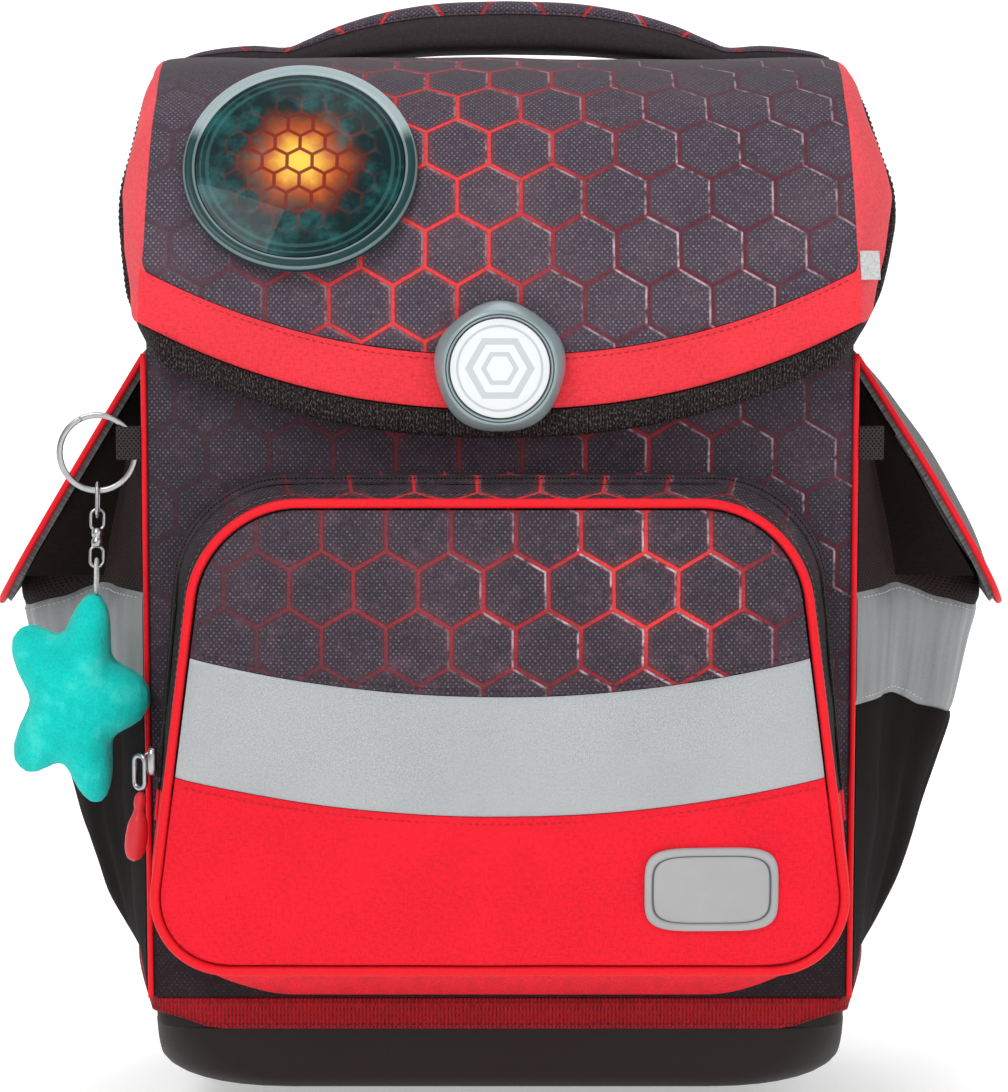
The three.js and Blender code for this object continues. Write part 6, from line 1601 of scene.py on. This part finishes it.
def badge_build(n, uv, place):
    """Badge under its dome: small hexagons that glow towards the middle, smoke behind and thin outer rings."""
    far = n.add("ShaderNodeVectorMath", uv, operation="LENGTH", out=1)
    x, y = n.split(uv)[0], n.split(uv)[1]
    ux, uy = n.math("ABSOLUTE", x), n.math("ABSOLUTE", y)
    hexagon = n.math("MAXIMUM", uy, n.math("ADD", n.math("MULTIPLY", ux, math.sqrt(3) / 2), n.math("MULTIPLY", uy, 0.5)))
    cells = n.group("comb", moved(n, uv, 0, 0), 0.0098)
    net = n.step(cells, 0.0009, 0.0004)
    rings = n.math("ADD", ring_mask(n, far, 0.0365, 0.0006), ring_mask(n, far, 0.0392, 0.0003), clamp=True)
    smoke = n.noise(place, 70.0, 5.0, 0.65)
    reach = n.math("ADD", hexagon, n.math("MULTIPLY_ADD", smoke, 0.012, -0.006))
    heat = n.step(reach, 0.027, 0.0)
    ground = n.mix(n.step(smoke, 0.45, 0.7), tint("badge"), (0.012, 0.085, 0.085, 1))
    embers = n.mix(n.step(heat, 0.45, 0.95), tint("ember"), (1.0, 0.60, 0.08, 1))
    lit = n.math("MULTIPLY", heat, n.math("MULTIPLY_ADD", net, -0.85, 1.0))
    colour_socket = n.mix(n.math("POWER", lit, 1.3), ground, embers)
    outline = n.math("MULTIPLY", net, n.step(far, 0.035, 0.012))
    colour_socket = n.mix(n.math("MULTIPLY", outline, 0.7), colour_socket, (0.30, 0.018, 0.004, 1))
    colour_socket = n.mix(n.math("MULTIPLY", rings, 0.35), colour_socket, (0.05, 0.16, 0.16, 1))
    return {"Base Color": colour_socket, "Roughness": 0.35, "Coat Weight": 0.16, "Coat Roughness": 0.03,
            "Specular IOR Level": 0.1,
            "Normal": n.bump(n.noise(place, 60.0, 1.0), 0.0004, 0.12)}


def badge_rim_build(n, uv, place):
    """Rim: pale over its upper arc, a painted highlight from above, and dark teal below, with two thin outlines."""
    far = n.add("ShaderNodeVectorMath", uv, operation="LENGTH", out=1)
    parts = n.split(uv)
    turn = n.math("ARCTAN2", parts[1], parts[0])
    # Painted highlight: the upper arc of the rim is mixed towards pale grey.
    arc = n.math("MULTIPLY", n.step(turn, 0.25, 0.45), n.step(turn, 2.9, 2.7))
    base = n.mix(arc, tint("badge_rim"), (0.30, 0.37, 0.38, 1))
    lines = n.math("ADD", ring_mask(n, far, 0.0419, 0.00035), ring_mask(n, far, 0.0457, 0.0003), clamp=True)
    return {"Base Color": n.mix(n.math("MULTIPLY", lines, 0.35), base, (0.40, 0.50, 0.50, 1)), "Roughness": 0.38,
            "Coat Weight": 0.08, "Specular IOR Level": 0.25,
            "Normal": n.bump(n.noise(place, 500.0, 2.0), 0.00004, 0.4)}


def plush_build(n, uv, place):
    """Pile: short fibres, with soft paler areas painted as highlights of the pile."""
    pile, slow = n.noise(place, 1300.0, 3.0, 0.75), n.noise(place, 75.0, 4.0, 0.6)
    shade = n.math("ADD", n.math("MULTIPLY_ADD", pile, 0.8, 0.6), n.math("MULTIPLY_ADD", slow, 0.7, -0.35))
    colour_socket = n.mix(1.0, tint("plush"), n.add("ShaderNodeCombineColor", shade, shade, shade), "MULTIPLY")
    # Painted highlight: paler teal where the slow noise is high.
    colour_socket = n.mix(n.math("MULTIPLY", n.step(slow, 0.5, 0.75), 0.35), colour_socket, (0.16, 0.72, 0.66, 1))
    return {"Base Color": colour_socket, "Roughness": 0.95, "Sheen Weight": 0.12, "Specular IOR Level": 0.1,
            "Normal": n.bump(n.math("MULTIPLY_ADD", pile, 0.5, n.math("MULTIPLY", slow, 2.0)), 0.0012, 0.9)}


def thread(value):
    return lambda n, uv, place: {
        "Base Color": n.mix(n.noise(place, 2500.0, 1.0), value, (*(c * 0.55 for c in value[:3]), 1)),
        "Roughness": 0.7, "Normal": n.bump(n.noise(place, 2500.0, 1.0), 0.0001, 0.5)}


MATERIALS = {
    "print_lid": printed(LID_SPOTS, LID_LIGHT, (8.6, 74.6), plain=(-0.075, -0.02)),
    "print_pocket": printed(POCKET_SPOTS, POCKET_LIGHT, (-5.9, 190.5), ground_shade=0.68, worn=0.35),
    "print_body": printed(BODY_SPOTS, BODY_LIGHT, (-3.2, 259.8), ground_shade=0.66, dark_below=0.1),
    "print_handle": printed([(-70, 436, 60, 0.8), (70, 436, 60, 0.6)], [(20, 436, 90, 0.7)], (6, 3)),
    "print_gusset": gusset_print,
    "red": plain_cloth("red", slub=0.4),
    "red_band": band_build,
    "red_wing": wing_build,
    "red_gusset": gusset_red,
    "piping": plain_cloth("red_trim", rough=0.5, depth=0.00004, uneven=0.08, pitch=0.0006, slub=0.2),
    "black": plain_cloth("black", uneven=0.25, specular=0.08, sheen=0.0),
    "bellows": lambda n, uv, place: woven(n, uv, place, (0.011, 0.0075, 0.007, 1), specular=0.05, pitch=0.0016),
    "handle_cloth": lambda n, uv, place: woven(n, uv, place, (0.05, 0.04, 0.044, 1), uneven=0.12),
    "binding": ribbed("binding", 0.0013, contrast=1.1, flecks=3.2),
    "webbing": ribbed("webbing", 0.0015, contrast=0.9, round_it=True),
    "tape_black": ribbed("black", 0.0013),
    "loop_tape": mesh(0.0017, (0.07, 0.06, 0.06, 1)),
    "zip_tape": zip_tape_build,
    "zip_teeth": moulded("black", 0.4),
    "mesh": mesh(0.0026),
    "heather": heather_build,
    "reflective": reflective(),
    "reflective_shaded_side": reflective(0.56, 0.9),
    "shell": moulded("shell", 0.55, 700.0, 0.00015),
    "bezel": bezel_build,
    "disc": disc_build,
    "badge_face": badge_build,
    "badge_rim": badge_rim_build,
    "rubber": moulded("rubber", 0.5, coat=0.1, uneven=0.12),
    "patch": patch_build,
    "label": lambda n, uv, place: woven(n, uv, place, (0.50, 0.50, 0.50, 1), depth=0.00004, pitch=0.0005),
    "metal": metal_build,
    "plush": plush_build,
    "thread_dark": thread((0.02, 0.015, 0.015, 1)),
    "thread_red": thread((0.46, 0.008, 0.016, 1)),
    "thread_grey": thread((0.16, 0.14, 0.14, 1)),
    "thread_white": thread((0.8, 0.8, 0.8, 1)),
}


def material(name):
    """The material of this name, built once from its function."""
    key = f"ransel_{name}"
    if key in bpy.data.materials:
        return bpy.data.materials[key]
    made = bpy.data.materials.new(key)
    made.use_nodes = True
    tree = made.node_tree
    tree.nodes.clear()
    output, surface = tree.nodes.new("ShaderNodeOutputMaterial"), tree.nodes.new("ShaderNodeBsdfPrincipled")
    tree.links.new(surface.outputs[0], output.inputs[0])
    n = Nodes(tree)
    uv = n.add("ShaderNodeUVMap", uv_map="UVMap")
    place = n.add("ShaderNodeTexCoord", out=3)
    for key, value in MATERIALS[name](n, uv, place).items():
        n.put(surface.inputs[key], value)
    return made


# Stage


def make_stage():
    """Floor that bends up into a backdrop, soft lights, a pale surround and the camera of the photograph."""
    run = np.array([(-9, 0), (1.0, 0), (1.35, 0.04), (1.6, 0.16), (1.8, 0.45), (1.85, 1), (1.85, 3.2)])
    line = Path(spline(run)).even(240)
    x = np.linspace(-9, 9, 9)
    points = np.stack(np.broadcast_arrays(x[None], line[:, :1], line[:, 1:]), axis=-1)
    mesh = bpy.data.meshes.new("floor")
    mesh.from_pydata(points.reshape(-1, 3).tolist(), [], ring_quads(len(line), len(x)).tolist())
    mesh.polygons.foreach_set("use_smooth", np.ones(len(mesh.polygons), bool))
    mesh.update()
    paper = bpy.data.materials.new("ransel_floor")
    paper.use_nodes = True
    surface = paper.node_tree.nodes["Principled BSDF"]
    surface.inputs["Base Color"].default_value = tint("floor")
    surface.inputs["Roughness"].default_value = 0.9
    surface.inputs["Emission Color"].default_value = tint("floor")
    surface.inputs["Emission Strength"].default_value = 0.42
    mesh.materials.append(paper)
    floor = bpy.data.objects.new("floor", mesh)
    bpy.context.scene.collection.objects.link(floor)

    for name, place, size, power in (("key", (-0.9, -1.5, 1.7), 1.0, 22), ("fill", (1.3, -1.5, 0.9), 1.4, 9),
                                     ("top", (0.1, 0.1, 2.0), 1.3, 12), ("low", (0.0, -2.2, 0.35), 1.6, 7)):
        light = bpy.data.lights.new(name, "AREA")
        light.energy, light.size = power, size
        lamp = bpy.data.objects.new(name, light)
        lamp.location = place
        lamp.rotation_euler = (Vector((0, 0, 0.22)) - Vector(place)).to_track_quat("-Z", "Y").to_euler()
        bpy.context.scene.collection.objects.link(lamp)

    world = bpy.data.worlds.new("surround")
    world.use_nodes = True
    world.node_tree.nodes["Background"].inputs[0].default_value = (1, 1, 1, 1)
    world.node_tree.nodes["Background"].inputs[1].default_value = 0.31
    bpy.context.scene.world = world
    bpy.context.scene.view_settings.view_transform = "Standard"

    camera = bpy.data.cameras.new("camera")
    camera.lens, camera.sensor_width = 117.07, 36
    eye = bpy.data.objects.new("camera", camera)
    eye.location = (0.0016, -1.4888, 0.3953)
    eye.rotation_euler = (math.radians(83), 0, 0)
    bpy.context.scene.collection.objects.link(eye)
    bpy.context.scene.camera = eye


# Operators, panel and registration


class Maker:
    """Runs an operator's make function."""

    def execute(self, context):
        if not hasattr(context.scene, "ransel_sizes"):
            raise RuntimeError("The ransel's sizes aren't registered.")
        type(self).make()
        return {"FINISHED"}


class RANSEL_OT_base(Maker, bpy.types.Operator):
    """Make the moulded tray and the webbing round it"""
    bl_idname, bl_label, make = "ransel.base", "Base", staticmethod(make_base)


class RANSEL_OT_body(Maker, bpy.types.Operator):
    """Make the body panels and the piping of the front edges"""
    bl_idname, bl_label, make = "ransel.body", "Body", staticmethod(make_body)


class RANSEL_OT_lid(Maker, bpy.types.Operator):
    """Make the lid, its band and its wings"""
    bl_idname, bl_label, make = "ransel.lid", "Lid", staticmethod(make_lid)


class RANSEL_OT_binding(Maker, bpy.types.Operator):
    """Make the tape round the lid's free edges"""
    bl_idname, bl_label, make = "ransel.binding", "Binding", staticmethod(make_binding)


class RANSEL_OT_handle(Maker, bpy.types.Operator):
    """Make the grab handle"""
    bl_idname, bl_label, make = "ransel.handle", "Handle", staticmethod(make_handle)


class RANSEL_OT_lock(Maker, bpy.types.Operator):
    """Make the turn lock"""
    bl_idname, bl_label, make = "ransel.lock", "Lock", staticmethod(make_lock)


class RANSEL_OT_badge(Maker, bpy.types.Operator):
    """Make the badge of the lid"""
    bl_idname, bl_label, make = "ransel.badge", "Badge", staticmethod(make_badge)


class RANSEL_OT_label(Maker, bpy.types.Operator):
    """Make the small side tag"""
    bl_idname, bl_label, make = "ransel.label", "Tag", staticmethod(make_label)


class RANSEL_OT_pocket(Maker, bpy.types.Operator):
    """Make the front pocket"""
    bl_idname, bl_label, make = "ransel.pocket", "Front pocket", staticmethod(make_pocket)


class RANSEL_OT_zip(Maker, bpy.types.Operator):
    """Make the zip, its slider and its tab"""
    bl_idname, bl_label, make = "ransel.zip", "Zip", staticmethod(make_zip)


class RANSEL_OT_patch(Maker, bpy.types.Operator):
    """Make the rubber patch"""
    bl_idname, bl_label, make = "ransel.patch", "Patch", staticmethod(make_patch)


class RANSEL_OT_sides(Maker, bpy.types.Operator):
    """Make the side pockets, flaps, rivets and seam loops"""
    bl_idname, bl_label, make = "ransel.sides", "Sides", staticmethod(make_sides)


class RANSEL_OT_charm(Maker, bpy.types.Operator):
    """Make the split ring, the chain and the plush star"""
    bl_idname, bl_label, make = "ransel.charm", "Charm", staticmethod(make_charm)


class RANSEL_OT_back(Maker, bpy.types.Operator):
    """Make the back pads and the shoulder straps"""
    bl_idname, bl_label, make = "ransel.back", "Back", staticmethod(make_back)


class RANSEL_OT_stage(Maker, bpy.types.Operator):
    """Make the floor, the lights and the camera"""
    bl_idname, bl_label, make = "ransel.stage", "Stage", staticmethod(make_stage)


OPERATORS = (RANSEL_OT_base, RANSEL_OT_body, RANSEL_OT_lid, RANSEL_OT_binding, RANSEL_OT_handle, RANSEL_OT_lock,
             RANSEL_OT_badge, RANSEL_OT_label, RANSEL_OT_pocket, RANSEL_OT_zip, RANSEL_OT_patch, RANSEL_OT_sides,
             RANSEL_OT_charm, RANSEL_OT_back, RANSEL_OT_stage)


class RANSEL_PT_panel(bpy.types.Panel):
    """Sizes, colours and steps of the ransel"""
    bl_label = "School ransel"
    bl_idname = "RANSEL_PT_panel"
    bl_space_type = "VIEW_3D"
    bl_region_type = "UI"
    bl_category = "Ransel"

    def draw(self, context):
        for values in (context.scene.ransel_sizes, context.scene.ransel_colours):
            box = self.layout.box()
            for name in values.bl_rna.properties.keys():
                if name not in ("rna_type", "name"):
                    box.prop(values, name)
        for operator in OPERATORS:
            self.layout.operator(operator.bl_idname)


CLASSES = (RanselSizes, RanselColours, *OPERATORS, RANSEL_PT_panel)


def register():
    for one in CLASSES:
        bpy.utils.register_class(one)
    bpy.types.Scene.ransel_sizes = bpy.props.PointerProperty(type=RanselSizes)
    bpy.types.Scene.ransel_colours = bpy.props.PointerProperty(type=RanselColours)


def unregister():
    del bpy.types.Scene.ransel_colours
    del bpy.types.Scene.ransel_sizes
    for one in reversed(CLASSES):
        bpy.utils.unregister_class(one)


def main():
    register()
    for operator in OPERATORS:
        name = operator.bl_idname.split(".")[1]
        getattr(bpy.ops.ransel, name)()


if __name__ == "__main__":
    main()
